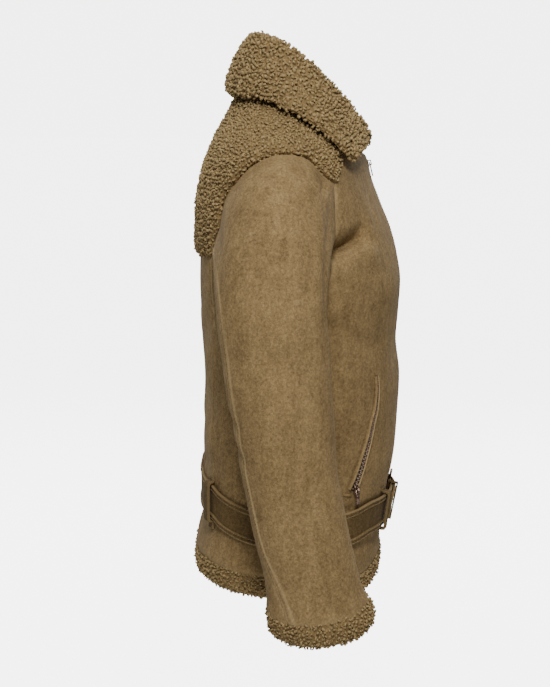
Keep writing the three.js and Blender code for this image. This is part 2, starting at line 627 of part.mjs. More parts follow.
// Belt loops, sewn down above and below the belt
function beltLoop({ angle, width, above, below, foot }) {
  const top = beltStand(angle) + BELT_THICK + LOOP_ROOM;
  const edge = BELT_WIDTH / 2;
  const half = (overhang) => table(['outerZ', 'outerLift', 'innerZ', 'innerLift'], [
    [edge + 3 + overhang, foot + LOOP_THICK, edge + 3 + overhang, foot],
    [edge + 4.6, foot + LOOP_THICK, edge + 3.4, foot],
    [edge + 3.8, top + 1, edge + 1.6, top - 1.4],
    [edge + 0.6, top + LOOP_THICK, edge - 1, top],
  ]);
  const whole = [...half(above), ...half(below).toReversed().map(
    (row) => ({ ...row, outerZ: -row.outerZ, innerZ: -row.innerZ }),
  )];
  const centre = skin(angle, beltCentre(angle));
  const halfAngle = THREE.MathUtils.radToDeg(width / 2 / Math.hypot(centre.x, centre.y));
  const grid = (z, lift) => whole.map((row) => [-halfAngle, halfAngle].map(
    (offset) => skin(angle + offset, beltCentre(angle) + row[z], row[lift]),
  ));
  return [grid('outerZ', 'outerLift'), grid('innerZ', 'innerLift')];
}
for (const side of SIDES) {
  LOOPS.forEach((loop, i) => {
    const [outer, inner] = beltLoop(loop).map((grid) => mirrorX(grid, side.sign));
    add(`belt_loop_${LOOP_NAMES[i]}_${side.name}`, wall(outer, inner), LEATHER);
  });
}

// A strip that follows a path on the body, between two distances across it
function skinStrip(path, from, to, low, high) {
  const points = path.map(([a, z]) => skin(a, z));
  const grid = (lift) => [from, to].map((across) => path.map(([a, z], i) => {
    const next = points[Math.min(i + 1, points.length - 1)];
    const along = next.clone().sub(points[Math.max(i - 1, 0)]).normalize();
    const normal = skinNormal(a, z);
    const sideways = normal.clone().cross(along).normalize();
    return points[i].clone().addScaledVector(sideways, across).addScaledVector(normal, lift);
  }));
  return [grid(high), grid(low)];
}

const pocketPath = seamSteps(POCKET, POCKET_STEPS);
const tabPath = seamSteps(POCKET_TAB, 2);
for (const side of SIDES) {
  const strips = [
    ['pocket_zip', pocketPath, -POCKET_ZIP_HALF, POCKET_ZIP_HALF, POCKET_ZIP_HEIGHT, COPPER],
    ['pocket_lip_front', pocketPath, -FRONT_LIP_OUTER, -LIP_INNER, LIP_HEIGHT, SUEDE],
    ['pocket_lip_back', pocketPath, LIP_INNER, BACK_LIP_OUTER, LIP_HEIGHT, SUEDE],
    ['pocket_tab', tabPath, -TAB_WIDTH / 2, TAB_WIDTH / 2, LIP_HEIGHT, LEATHER],
  ];
  for (const [name, path, from, to, high, color] of strips) {
    const grids = skinStrip(path, from, to, STRIP_STAND, high);
    const [outer, inner] = grids.map((grid) => mirrorX(grid, side.sign));
    add(`${name}_${side.name}`, wall(outer, inner), color);
  }
}

// Centre front zip, set between the front edges from the neck to the hem
const zipFoot = hemLevel(0) - HEM_BAND[HEM_BAND.length - 2].drop;
const zipLevels = spread(zipFoot, neckLevel(0) - 1, FRONT_ZIP_STEPS);
const zipGrid = (lift) => zipLevels.map((level) => [-1, 1].map((sign) => {
  const at = skin(0, level, lift);
  return new THREE.Vector3(sign * (ZIP_HALF - GAP), at.y, at.z);
}));
add('front_zip', wall(zipGrid(-ZIP_SUNK), zipGrid(-ZIP_SUNK - ZIP_THICK)), COPPER, 0.5, 0.8);

// Zip slider with its bridge, and the pull tab that hangs from the bridge
function toSolid(geometry) {
  const bare = geometry.clone();
  bare.deleteAttribute('normal');
  bare.deleteAttribute('uv');
  const merged = mergeVertices(bare, 1e-4);
  return new wasm.Manifold(new wasm.Mesh({
    numProp: 3,
    vertProperties: new Float32Array(merged.attributes.position.array),
    triVerts: new Uint32Array(merged.index.array),
  }));
}

function fromSolid(solid) {
  const mesh = solid.getMesh();
  const geometry = new THREE.BufferGeometry();
  geometry.setAttribute('position', new THREE.BufferAttribute(new Float32Array(mesh.vertProperties), 3));
  geometry.setIndex(new THREE.BufferAttribute(new Uint32Array(mesh.triVerts), 1));
  geometry.computeVertexNormals();
  return geometry;
}

function plate(outline, hole, depth) {
  const shape = new THREE.Shape(outline.map(([x, y]) => new THREE.Vector2(x, y)));
  if (hole) shape.holes.push(new THREE.Path(hole.map(([x, y]) => new THREE.Vector2(x, y))));
  return new THREE.ExtrudeGeometry(shape, { depth, bevelEnabled: false, steps: 1 });
}
const box = (x0, x1, y0, y1) => [[x0, y0], [x1, y0], [x1, y1], [x0, y1]];

// In the slider's own frame X runs across the zip, Y up it and Z out of the cloth
function sliderGeometry() {
  const {
    half, top, foot, thick, bridgeHalf, bridgeLong, bridgeHigh, bar, sill, narrow, shoulder,
  } = SLIDER;
  const outline = [
    [-half, top - shoulder], [-half * narrow, foot], [half * narrow, foot],
    [half, top - shoulder], [half * narrow, top], [-half * narrow, top],
  ];
  const body = plate(outline, null, thick);
  const arch = plate(
    box(-bridgeLong, bridgeLong, thick / 2, thick + bridgeHigh),
    box(-bridgeLong + bar, bridgeLong - bar, thick + sill, thick + bridgeHigh - bar), 2 * bridgeHalf,
  );
  arch.translate(0, 0, -bridgeHalf);
  arch.rotateY(Math.PI / 2);
  arch.rotateX(Math.PI / 2);
  return fromSolid(toSolid(body).add(toSolid(arch)));
}

function pullGeometry() {
  const { half, long, rod, windowHalf, windowLong, thick, waist, tip } = PULL;
  const outline = [
    [-half, rod / 2], [-half, -long * waist], [-half * tip, -long],
    [half * tip, -long], [half, -long * waist], [half, rod / 2],
  ];
  const geometry = plate(outline, box(-windowHalf, windowHalf, -windowLong, -rod / 2), thick);
  geometry.translate(0, 0, -thick / 2);
  return geometry;
}

const slider = sliderGeometry();
const pull = pullGeometry();
const WORLD_UP = new THREE.Vector3(0, 0, 1);

// The tab hangs plumb where the cloth leans out over it, and else lies along its slider
function addSlider(name, angle, level, lift) {
  const out = skinNormal(angle, level);
  const across = WORLD_UP.clone().cross(out).normalize();
  const up = out.clone().cross(across);
  const origin = skin(angle, level, lift);
  const turned = new THREE.Matrix4().makeBasis(across, up, out);
  const mesh = add(`slider_${name}`, slider, COPPER, 0.45, 0.9);
  mesh.position.copy(origin);
  mesh.quaternion.setFromRotationMatrix(turned);
  const tab = add(`pull_${name}`, pull, COPPER, 0.45, 0.9);
  const axis = SLIDER.thick + (SLIDER.bridgeHigh - SLIDER.bar + SLIDER.sill) / 2;
  tab.position.copy(origin).addScaledVector(out, axis);
  if (out.z < 0) turned.makeBasis(across, WORLD_UP, across.clone().cross(WORLD_UP));
  tab.quaternion.setFromRotationMatrix(turned);
}
const [pocketEndAngle, pocketEndLevel] = pocketPath[pocketPath.length - 1];
for (const side of SIDES) {
  const angle = side.sign * pocketEndAngle;
  addSlider(`pocket_${side.name}`, angle, pocketEndLevel + POCKET_SLIDER_UP, LIP_HEIGHT + GAP);
}
addSlider('front', 0, FRONT_SLIDER_LEVEL, GAP - ZIP_SUNK);

// Plain buckle on the centre front: the tail runs under its far side and over its near bar
function addOnBelt(name, geometry, stand, tilt) {
  const out = skinNormal(0, beltCentre(0));
  const across = new THREE.Vector3(1, 0, 0);
  const turned = new THREE.Matrix4().makeBasis(across, out.clone().cross(across), out);
  turned.multiply(new THREE.Matrix4().makeRotationY(-rad(tilt)));
  const mesh = add(name, geometry, COPPER, 0.45, 0.9);
  mesh.position.copy(skin(0, beltCentre(0), beltStand(0) + stand));
  mesh.quaternion.setFromRotationMatrix(turned);
}
const { near, far, halfHigh, rod, prongHalf } = BUCKLE;
const frame = plate(
  box(-near, far, -halfHigh, halfHigh),
  box(-near + rod, far - rod, -halfHigh + rod, halfHigh - rod), rod,
);
addOnBelt('buckle_frame', frame, BUCKLE.stand, BUCKLE.tilt);
const prong = plate(box(-near - 1, far, -prongHalf, prongHalf), null, BUCKLE.prong);
addOnBelt('buckle_prong', prong, BUCKLE.prongStand, BUCKLE.prongTilt);

// Keeper that holds the tail down beside the buckle
function keeperGrid(outside) {
  const grow = outside ? KEEPER.thick : 0;
  const high = BELT_WIDTH / 2 + KEEPER.room + grow;
  const low = beltStand(KEEPER.angle) - KEEPER.room - grow;
  const top = beltStand(KEEPER.angle) + BELT_OVERLAP + BELT_THICK + KEEPER.room + grow;
  const ring = [[-high, low], [-high, top], [high, top], [high, low]];
  return [-1, 1].map((sign) => ring.map(([dz, lift]) => skin(
    -KEEPER.angle + sign * KEEPER.halfAngle, beltCentre(KEEPER.angle) + dz, lift,
  )));
}
add('belt_keeper', wall(keeperGrid(true), keeperGrid(false), true), LEATHER);

export default group;
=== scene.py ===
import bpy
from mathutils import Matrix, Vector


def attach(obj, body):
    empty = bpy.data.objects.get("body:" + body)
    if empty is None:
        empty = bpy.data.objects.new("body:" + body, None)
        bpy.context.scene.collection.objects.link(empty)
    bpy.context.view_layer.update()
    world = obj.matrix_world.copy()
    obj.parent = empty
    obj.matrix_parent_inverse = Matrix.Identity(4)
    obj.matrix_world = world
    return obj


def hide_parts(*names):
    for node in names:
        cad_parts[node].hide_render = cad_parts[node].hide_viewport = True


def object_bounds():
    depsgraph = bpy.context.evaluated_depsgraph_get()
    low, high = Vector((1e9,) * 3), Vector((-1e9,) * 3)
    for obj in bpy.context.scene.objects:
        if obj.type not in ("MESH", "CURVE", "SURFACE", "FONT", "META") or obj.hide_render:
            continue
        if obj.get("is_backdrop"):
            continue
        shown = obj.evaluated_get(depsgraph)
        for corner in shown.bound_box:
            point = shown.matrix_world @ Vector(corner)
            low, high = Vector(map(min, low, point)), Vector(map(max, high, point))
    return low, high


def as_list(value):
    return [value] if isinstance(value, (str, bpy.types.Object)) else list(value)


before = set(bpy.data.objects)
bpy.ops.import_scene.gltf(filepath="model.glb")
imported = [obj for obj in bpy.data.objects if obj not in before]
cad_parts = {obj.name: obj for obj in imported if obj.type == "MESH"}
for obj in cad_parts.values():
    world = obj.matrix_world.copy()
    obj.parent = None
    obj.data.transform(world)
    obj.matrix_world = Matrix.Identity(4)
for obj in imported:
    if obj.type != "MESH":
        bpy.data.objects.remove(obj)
cad_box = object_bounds()

# %% [markdown]
# # A shearling jacket
# The jacket is sewn from sheepskin. Its fronts, back and sleeves show the suede side and keep the
# wool inside. The collar, shoulder yoke, cuffs and hem band are turned over and show the wool.
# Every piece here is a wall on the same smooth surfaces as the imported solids, only with many more
# points, so that creases, lapped seams and thread can be added without leaving the frame.
# Tables are in millimetres, and points become metres when a mesh is made.

# %% Libraries and driving sizes
import math
import bmesh
import bpy
import numpy as np

MM = 0.001
WALL = 5.0            # suede skin and the dense foot of its wool
GAP = 0.3             # between the solids at a seam
SEAM_SHUT = 0.02      # what a piece of the shown cloth sheds there, so that no light comes through
YOKE_WOOL = 5.5       # base of the curls over the yoke's suede
YOKE_EDGE_WOOL = 2.0
YOKE_INNER = 5.0
COLLAR_HALF = 4.0     # half the collar under its curls
COLLAR_FOLD_RADIUS = 8
COLLAR_CLEAR = 0.9
ZIP_HALF = 4.6
BELT_WIDTH = 42
BELT_THICK = 3.0
ARC_RADIUS = 165
ARMPIT_REACH = 7
ARMPIT_LEVEL = -236
ARMPIT_ANGLE = 94

# %% [markdown]
# A short table describes the trunk: a superellipse at each level, with its own depth and
# squareness in front and behind. Columns between rows are joined by curves that never overshoot,
# so a waist stays a waist. Angles run from 0 at the centre front to 180 at the centre back.

# %% Tables of the trunk and its seams
TORSO = dict(zip(["level", "half_width", "front", "back", "front_power", "back_power"], np.array([
    [-560, 203, 113, 111.5, 2.3, 3], [-515, 204, 115.5, 112, 2.3, 3], [-502, 202.5, 116, 112, 2.3, 3],
    [-490, 198, 116, 109, 2.3, 3], [-476, 193.5, 118, 104.6, 2.3, 3], [-460, 191, 121, 103, 2.3, 3],
    [-425, 191, 128, 103, 2.3, 3], [-390, 192, 134, 103, 2.3, 3],
    [-345, 192, 137, 103, 2.3, 3], [-300, 192, 139, 101, 2.3, 3], [-255, 194, 134.5, 104, 2.3, 3],
    [-220, 195, 137, 106, 2.3, 3], [-185, 197, 139, 107, 2.3, 3], [-150, 198, 134, 106, 2.15, 3],
    [-120, 198, 126, 105, 2, 3], [-90, 198, 114, 104, 1.85, 2.9], [-60, 197, 103, 99, 1.7, 2.8],
    [-36, 193, 97, 92, 1.5, 2.7], [-22, 183, 91, 87, 1.45, 2.6], [-10, 160, 86, 82, 1.4, 2.5],
    [5, 130, 77, 73, 1.4, 2.4], [20, 105, 64, 65, 1.45, 2.4], [34, 85, 50, 58, 1.5, 2.4],
    [48, 71, 34, 54, 1.7, 2.4], [64, 60, 20, 50, 1.9, 2.4],
], float).T))
ARM_FRONT = [[94, -236], [85, -226], [79, -195], [75.8, -155], [73.6, -130], [73, -112],
             [72.2, -90], [70.8, -59]]
ARM_TOP = [[70.8, -59], [75.6, -50.5], [81.8, -32], [86, -26.2], [90.5, -24.5], [95.7, -26],
           [99.3, -31], [104.4, -42], [109.4, -60], [112.4, -72], [114.4, -92.5], [115.5, -110],
           [117.8, -124], [119.2, -141]]
ARM_BACK = [[119.2, -141], [117, -175], [110, -212], [102, -231], [94, -236]]
YOKE_BACK = [[119.2, -141], [123.5, -143], [140, -146], [160, -147.5], [180, -148]]
YOKE_FRONT = [[70.8, -59], [66.5, -47], [64, -38], [56, 14]]
SIDE_BACK_SEAM = [[122, -504.6], [124, -420], [125, -316], [121.5, -220], [123.5, -143]]
SIDE_SEAM = [[95, -513], [94.5, -420], [94, -320], [94, -236]]
NECK = np.array([[0, -30], [20, -25], [38, -10], [56, 14], [75, 34], [95, 45], [130, 52], [180, 55]], float)
HEM = np.array([[0, -512], [20, -514], [42, -518], [59, -523], [75, -520], [95, -513],
                [110, -507.6], [122, -504.6], [140, -505.5], [180, -508]], float)
BELT = np.array([[0, -457, 2.5], [20, -456.5, 3.5], [40, -455, 4.5], [55, -455, 4.5],
                 [66, -461, 4], [75, -464, 3], [95, -459.5, 2.5], [104, -454, 2.5], [116, -442, 2],
                 [121, -436, 1.8], [140, -433, 1.5], [180, -434, 1.5]], float)

# %% Smooth columns
def smooth_column(along, values):
    """A curve through the rows of a table, with slopes that never overshoot."""
    s, v = np.asarray(along, float), np.asarray(values, float)
    secant = np.diff(v) / np.diff(s)
    slope = np.empty_like(v)
    slope[0], slope[-1] = secant[0], secant[-1]
    before, after = secant[:-1], secant[1:]
    same = before * after > 0
    slope[1:-1] = np.where(same, 2 * before * after / np.where(same, before + after, 1), 0)

    def at(q):
        q = np.clip(np.asarray(q, float), s[0], s[-1])
        i = np.clip(np.searchsorted(s, q, side="right") - 1, 0, len(s) - 2)
        h = s[i + 1] - s[i]
        t = (q - s[i]) / h
        rise = t * t * (3 - 2 * t)
        return (v[i] + (v[i + 1] - v[i]) * rise + h * slope[i] * t * (1 - t) ** 2
                - h * slope[i + 1] * t * t * (1 - t))
    return at


def columns_of(table):
    """A smooth curve for each column of a table after its first."""
    return [smooth_column(table[:, 0], table[:, k]) for k in range(1, table.shape[1])]


def bell(x, width, middle=0.0):
    """A smooth bump: 1 at its middle, and next to nothing two widths away."""
    return np.exp(-((x - middle) / width) ** 2)


trunk = {name: smooth_column(TORSO["level"], TORSO[name]) for name in TORSO if name != "level"}
(neck_level,), (hem_level,), (belt_level, belt_stand) = (columns_of(table) for table in (NECK, HEM, BELT))
print("waist half width at the belt:", round(float(trunk["half_width"](-450)), 1), "mm")

# %% [markdown]
# Heavy suede doesn't crumple. It drags into a few soft troughs with a fuller ridge beside them:
# from the armhole towards the chest, under the bust, and where the belt gathers the waist. Each
# fold is one row: its two ends, how far it sinks or rises, and how wide it is. The same soft
# unevenness, a slow noise of under a millimetre, keeps the rest from looking cast.

# %% Folds and soft unevenness
BODY_FOLDS = np.array([      # angle A, level A, angle B, level B, height, width
    [76, -138, 57, -121, -9, 10], [74, -158, 55, -143, 4, 15], [74, -228, 58, -262, -3, 15],
    [128, -236, 150, -262, -3, 16], [126, -330, 146, -306, -2.5, 14], [122, -392, 150, -402, -3, 14],
    [174, -300, 160, -330, -2, 14],
], float)
CREASES = np.array([         # the same, with a width on one side and a width on the other
    [77, -140, 58, -122, -8.5, 24, 3.4], [81, -145, 63, -127.5, -5, 5, 2.2],
    [78, -448, 66, -440, -2.5, 7, 3], [74, -231, 52, -254, -1.8, 16, 6],
], float)
FINE_FOLDS = np.array([
    [60, -122, 50, -127, -2, 8], [73, -116, 56, -104, 1.6, 8],
    [74, -224, 50, -252, -1.6, 9], [70, -190, 40, -196, 1.2, 22], [20, -262, 34, -276, -1.8, 7],
    [24, -288, 40, -300, -1.2, 9], [74, -260, 62, -330, 1.2, 16], [72, -300, 66, -420, -1.4, 12],
    [88, -420, 78, -438, -1.5, 7], [60, -430, 42, -436, 1.6, 9], [30, -424, 12, -434, -1.4, 8],
    [48, -420, 36, -410, -1.2, 9], [10, -80, 24, -150, 0.9, 10], [36, -60, 44, -110, -1, 9],
    [104, -300, 112, -360, -1.2, 10], [112, -400, 104, -430, 1.2, 9], [150, -200, 176, -214, -1.2, 12],
    [140, -410, 172, -418, 1.4, 10], [146, -350, 176, -362, -1.2, 12],
], float)


def fold_sum(folds, u, v):
    """Height of all folds at points u, v that are lengths in millimetres. A row with two widths is
    a crease: narrow on one side, where the cloth hangs in and then bulges out at once."""
    height = np.zeros(np.broadcast(u, v).shape)
    for ua, va, ub, vb, rise, wide, *narrow in folds:
        du, dv = ub - ua, vb - va
        t = np.clip(((u - ua) * du + (v - va) * dv) / (du * du + dv * dv), 0, 1)
        side_u, side_v = u - ua - t * du, v - va - t * dv
        far, width = np.hypot(side_u, side_v), wide
        if narrow:
            turned = (side_u * dv - side_v * du) / np.maximum(far * math.hypot(du, dv), 1e-6)
            width = narrow[0] + (wide - narrow[0]) * (0.5 + 0.5 * turned)
        height = height + rise * bell(far, width)
    return height


def on_arc(folds):
    """Fold ends given in degrees round the body, turned to lengths."""
    rows = folds.copy()
    rows[:, [0, 2]] = np.radians(rows[:, [0, 2]]) * ARC_RADIUS
    return rows


def lattice(i, j, k, seed):
    """A repeatable random value at whole-number places."""
    h = (i * 374761393 + j * 668265263 + k * 2147483647 + seed * 144269) & 0xFFFFFFFF
    h = ((h ^ (h >> 13)) * 1274126177) & 0xFFFFFFFF
    return ((h ^ (h >> 16)) & 0xFFFF) / 65535.0


def slow_noise(points, size, seed=1):
    """Smooth noise from -1 to 1, with lumps about size millimetres across."""
    p = points / size
    base = np.floor(p).astype(np.int64)
    f = p - base
    f = f * f * (3 - 2 * f)
    total = 0.0
    for corner in np.ndindex(2, 2, 2):
        weight = np.prod([f[..., a] if corner[a] else 1 - f[..., a] for a in range(3)], axis=0)
        total = total + weight * lattice(*(base[..., a] + corner[a] for a in range(3)), seed)
    return total * 2 - 1


COARSE_ARC, FINE_ARC, CREASE_ARC = on_arc(BODY_FOLDS), on_arc(FINE_FOLDS), on_arc(CREASES)
print("folds on the trunk:", len(BODY_FOLDS) + len(FINE_FOLDS) + len(CREASES))

# %% The trunk's surface
def folded(angle):
    return np.abs(((np.asarray(angle, float) + 540) % 360) - 180)


def plain_skin(angle, level):
    sine, cosine = np.sin(np.radians(angle)), np.cos(np.radians(angle))
    ahead = cosine > 0
    power = np.where(ahead, trunk["front_power"](level), trunk["back_power"](level))
    depth = np.where(ahead, trunk["front"](level), trunk["back"](level))
    total = np.abs(sine / trunk["half_width"](level)) ** power + np.abs(cosine / depth) ** power
    radius = total ** (-1 / power)
    return np.stack([radius * sine, -radius * cosine, np.broadcast_to(level, radius.shape)], -1)


def unit(v):
    return v / np.maximum(np.linalg.norm(v, axis=-1, keepdims=True), 1e-9)


def skin_normal(angle, level):
    step = 0.8
    around = plain_skin(angle + step, level) - plain_skin(angle - step, level)
    up = plain_skin(angle, level + step) - plain_skin(angle, level - step)
    return unit(np.cross(around, up))


def skin(angle, level, lift=0.0, fine=True):
    """Points of the suede surface, moved out by lift. Fine folds belong to the shown cloth."""
    angle, level = np.broadcast_arrays(np.asarray(angle, float), np.asarray(level, float))
    arc = np.radians(folded(angle)) * ARC_RADIUS
    height = fold_sum(COARSE_ARC, arc, level)
    base = plain_skin(angle, level)
    if fine:
        height = height + fold_sum(FINE_ARC, arc, level) + fold_sum(CREASE_ARC, arc, level)
        height = height + 0.5 * slow_noise(base, 46, 3)
    return base + skin_normal(angle, level) * (height + lift)[..., None]


def on_skin(grid):
    """The suede surface and its outward direction for a grid of angles and levels."""
    return skin(grid[..., 0], grid[..., 1]), skin_normal(grid[..., 0], grid[..., 1])


print("chest stands", round(float(-skin(0, -185)[1]), 1), "mm in front of the neck's middle")

# %% [markdown]
# Seams are curves on that surface. A panel is filled in between four seams: rows of points run
# from its left edge to its right edge and are bent so that they also meet the top and the bottom.
# Neighbours use the same seam, so they meet all along it, a hair apart.

# %% Seams and patches
def lengths_along(line):
    """How far each point of a line lies from its start."""
    return np.concatenate([[0], np.cumsum(np.linalg.norm(np.diff(line, axis=0), axis=1))])


def resample(line, at, values=None):
    """A line, or values that go with its points, read at given lengths along it."""
    values = line if values is None else values
    return np.stack([np.interp(at, lengths_along(line), v) for v in values.T], -1)


def even_steps(pieces, count):
    """Join the pieces of a curve, each starting where the last one ends, and space it evenly."""
    run = np.vstack([pieces[0]] + [p[1:] for p in pieces[1:]])
    return resample(run, np.linspace(0, lengths_along(run)[-1], count))


def with_ends(points):
    """Add a mirrored point before the first and after the last, for a curve through them all."""
    p = np.asarray(points, float)
    return np.vstack([2 * p[0] - p[1], p, 2 * p[-1] - p[-2]])


def seam_steps(points, steps):
    """Even steps along a smooth curve through angle and level points."""
    p = with_ends([[math.radians(a) * ARC_RADIUS, z] for a, z in points])
    run = []
    t = np.linspace(0, 1, 41)[:, None]
    for i in range(1, len(p) - 2):
        d0, d1, d2 = (math.sqrt(np.linalg.norm(p[i + k] - p[i + k - 1])) for k in (0, 1, 2))
        in_slope = ((p[i] - p[i - 1]) / d0 - (p[i + 1] - p[i - 1]) / (d0 + d1) + (p[i + 1] - p[i]) / d1) * d1
        out_slope = ((p[i + 1] - p[i]) / d1 - (p[i + 2] - p[i]) / (d1 + d2) + (p[i + 2] - p[i + 1]) / d2) * d1
        c2 = -3 * p[i] + 3 * p[i + 1] - 2 * in_slope - out_slope
        c3 = 2 * p[i] - 2 * p[i + 1] + in_slope + out_slope
        run.append(p[i] + in_slope * t + c2 * t * t + c3 * t ** 3)
    along = even_steps(run, steps + 1)
    along[:, 0] = np.degrees(along[:, 0] / ARC_RADIUS)
    return along


def patch(bottom, top, left, right):
    """A grid of rows between four edges; each edge is a list of places."""
    u = np.linspace(0, 1, len(bottom))[None, :, None]
    v = np.linspace(0, 1, len(left))[:, None, None]
    edges = (1 - v) * bottom[None] + v * top[None] + (1 - u) * left[:, None] + u * right[:, None]
    corners = ((1 - u) * (1 - v) * bottom[0] + u * (1 - v) * bottom[-1]
               + (1 - u) * v * top[0] + u * v * top[-1])
    return edges - corners


def edge_distance(grid):
    """How far each point lies from the left, right, bottom and top edges of its grid."""
    across = np.linalg.norm(np.diff(grid, axis=1), axis=-1)
    up = np.linalg.norm(np.diff(grid, axis=0), axis=-1)
    left = np.concatenate([np.zeros((grid.shape[0], 1)), np.cumsum(across, 1)], 1)
    bottom = np.concatenate([np.zeros((1, grid.shape[1])), np.cumsum(up, 0)], 0)
    return left, left[:, -1:] - left, bottom, bottom[-1:] - bottom


test_patch = patch(seam_steps(SIDE_SEAM, 4), seam_steps(SIDE_BACK_SEAM, 4),
                   seam_steps([[95, -513], [122, -504.6]], 3), seam_steps([[94, -236], [123.5, -143]], 3))
print("a patch has rows by columns:", test_patch.shape[:2])

# %% [markdown]
# Every cloth piece is a closed wall: an outer grid, an inner grid and a rim that joins them. The
# outer face carries the first material and the inner face the second. A wall sheds its edge points
# by a hair so that it never cuts into its neighbour.

# %% Walls and meshes
pieces_made = {}


def linked(name, data):
    """A new object in the scene, at the origin."""
    made = bpy.data.objects.new(name, data)
    bpy.context.scene.collection.objects.link(made)
    return made


def kept(name, mesh):
    """The object of a finished piece."""
    pieces_made[name] = linked(name, mesh)
    return pieces_made[name]


def mesh_object(name, points, faces, slots):
    """A plain mesh object in metres, with its place in the mesh and the origin unturned."""
    mesh = bpy.data.meshes.new(name)
    mesh.from_pydata((np.asarray(points) * MM).tolist(), [], [tuple(f) for f in faces])
    mesh.polygons.foreach_set("material_index", np.asarray(slots, dtype=np.int32))
    mesh.shade_smooth()
    mesh.set_sharp_from_angle(angle=math.radians(50))
    mesh.validate()
    mesh.update()
    return kept(name, mesh)


def pull_edges(grid, around=False, half=SEAM_SHUT):
    out = grid.copy()
    out[0] = grid[0] + unit(grid[1] - grid[0]) * half
    out[-1] = grid[-1] + unit(grid[-2] - grid[-1]) * half
    if not around:
        base = out.copy()
        out[:, 0] = base[:, 0] + unit(base[:, 1] - base[:, 0]) * half
        out[:, -1] = base[:, -1] + unit(base[:, -2] - base[:, -1]) * half
    return out


def wall_faces(rows, columns, around):
    """Quads of the outer face, inner face and rim of a wall between two grids."""
    last = columns if around else columns - 1
    j, i = np.meshgrid(np.arange(rows - 1), np.arange(last), indexing="ij")
    j, i = j.ravel(), i.ravel()
    at = lambda jj, ii: jj * columns + ii % columns
    back = lambda jj, ii: rows * columns + at(jj, ii)
    outer = np.stack([at(j, i), at(j, i + 1), at(j + 1, i + 1), at(j + 1, i)], -1)
    inner = np.stack([back(j, i), back(j + 1, i), back(j + 1, i + 1), back(j, i + 1)], -1)
    c, r = np.arange(last), np.arange(rows - 1)
    top = rows - 1
    rim = [np.stack([at(0, c), back(0, c), back(0, c + 1), at(0, c + 1)], -1),
           np.stack([at(top, c), at(top, c + 1), back(top, c + 1), back(top, c)], -1)]
    if not around:
        rim += [np.stack([at(r, 0), at(r + 1, 0), back(r + 1, 0), back(r, 0)], -1),
                np.stack([at(r, last), back(r, last), back(r + 1, last), at(r + 1, last)], -1)]
    return outer, inner, np.vstack(rim)


def wall(name, outer, inner, around=False, rim_slot=0):
    """A closed wall; its volume sign tells whether the faces point outwards."""
    rows, columns = outer.shape[:2]
    points = np.vstack([outer.reshape(-1, 3), inner.reshape(-1, 3)])
    groups = wall_faces(rows, columns, around)
    faces = np.vstack(groups)
    slots = np.repeat([0, 1, rim_slot], [len(g) for g in groups])
    a, b, c, d = (points[faces[:, k]] for k in range(4))
    volume = np.einsum("ij,ij->i", a, np.cross(b, c) + np.cross(c, d)).sum()
    if volume < 0:
        faces = faces[:, ::-1]
    return mesh_object(name, points, faces, slots)


def paint(piece, name, values):
    """Store one value a point, for the materials to read."""
    attribute = piece.data.attributes.new(name, "FLOAT", "POINT")
    attribute.data.foreach_set("value", np.asarray(values, dtype=np.float32).ravel())


def cut_size(outer):
    """The flat width and length of a panel, and its area, in metres."""
    across = np.linalg.norm(np.diff(outer, axis=1), axis=-1).sum(1)
    up = np.linalg.norm(np.diff(outer, axis=0), axis=-1).sum(0)
    a, b = outer[1:, 1:] - outer[:-1, :-1], outer[1:, :-1] - outer[:-1, 1:]
    area = np.linalg.norm(np.cross(a, b), axis=-1).sum() / 2
    return round(across.max() * MM, 3), round(up.max() * MM, 3), round(area * MM * MM, 4)


SIDES = [("R", np.array([-1, 1, 1])), ("L", np.array([1, 1, 1]))]      # what turns a grid to that side
print("walls are made of quads; a 3 by 3 grid gives", sum(len(g) for g in wall_faces(3, 3, False)))

# %% [markdown]
# A suede seam is lapped: one edge lies over the other and two rows of thread hold it. Seen close,
# the cloth dips into the seam, rises over the doubled edge and settles again. The profile below
# gives that height from the distance to the seam, and how much painted highlight the ridge gets.

# %% Lapped seam profile
LAP = 9.0             # width of the doubled edge
LAP_RISE = 1.1
LAP_ROWS = (2.6, 7.4)  # two rows of thread, at these distances from the seam


def lap_height(distance, lapped=True):
    """Height of the cloth beside a seam, and how much painted highlight its edge and ridge get."""
    dip = -1.3 * bell(distance, 1.8)
    if not lapped:
        # an unlapped seam gets a soft painted highlight at its edge
        return dip, 0.35 * bell(distance, 4)
    band = 1 / (1 + np.exp((distance - LAP) / 0.8))
    groove = sum(-0.55 * bell(distance, 0.9, row) for row in LAP_ROWS)
    # painted highlight on the folded edge at the seam and on the outer ridge of the lap
    painted_highlight = bell(distance, 1.2, 1.4) + 0.8 * bell(distance, 1.1, LAP - 0.4)
    return dip + LAP_RISE * band + groove, painted_highlight


print("the lap stands", round(float(lap_height(np.array([5.0]))[0][0]), 2), "mm over the cloth")

# %% Grids of the trunk's panels
DENSE = 4             # points of the shown cloth for each step of the solids
FRONT_COLUMNS, SIDE_ROWS, ARM_FRONT_ROWS, YOKE_FRONT_ROWS = 12 * DENSE, 22 * DENSE, 12 * DENSE, 7 * DENSE
ARM_TOP_STEPS, ARM_BACK_STEPS, YOKE_BACK_STEPS = 12 * DENSE, 7 * DENSE, 14 * DENSE
SIDE_BACK_COLUMNS = 5 * DENSE
FRONT_SEAM_STEP, FRONT_SEAM_TURN = ARM_FRONT_ROWS // 3, 125
YOKE_NECK_CORNER, NECK_CORNER = 130, 56

arm_front = seam_steps(ARM_FRONT, ARM_FRONT_ROWS)
arm_top = seam_steps(ARM_TOP, ARM_TOP_STEPS)
arm_back = seam_steps(ARM_BACK, ARM_BACK_STEPS)
yoke_front_edge = seam_steps(YOKE_FRONT, YOKE_FRONT_ROWS)
side_seam = seam_steps(SIDE_SEAM, SIDE_ROWS)
side_back_seam = seam_steps(SIDE_BACK_SEAM, SIDE_ROWS + ARM_BACK_STEPS)
yoke_back_edge = np.vstack([[YOKE_BACK[0]], seam_steps(YOKE_BACK[1:], YOKE_BACK_STEPS - 1)])


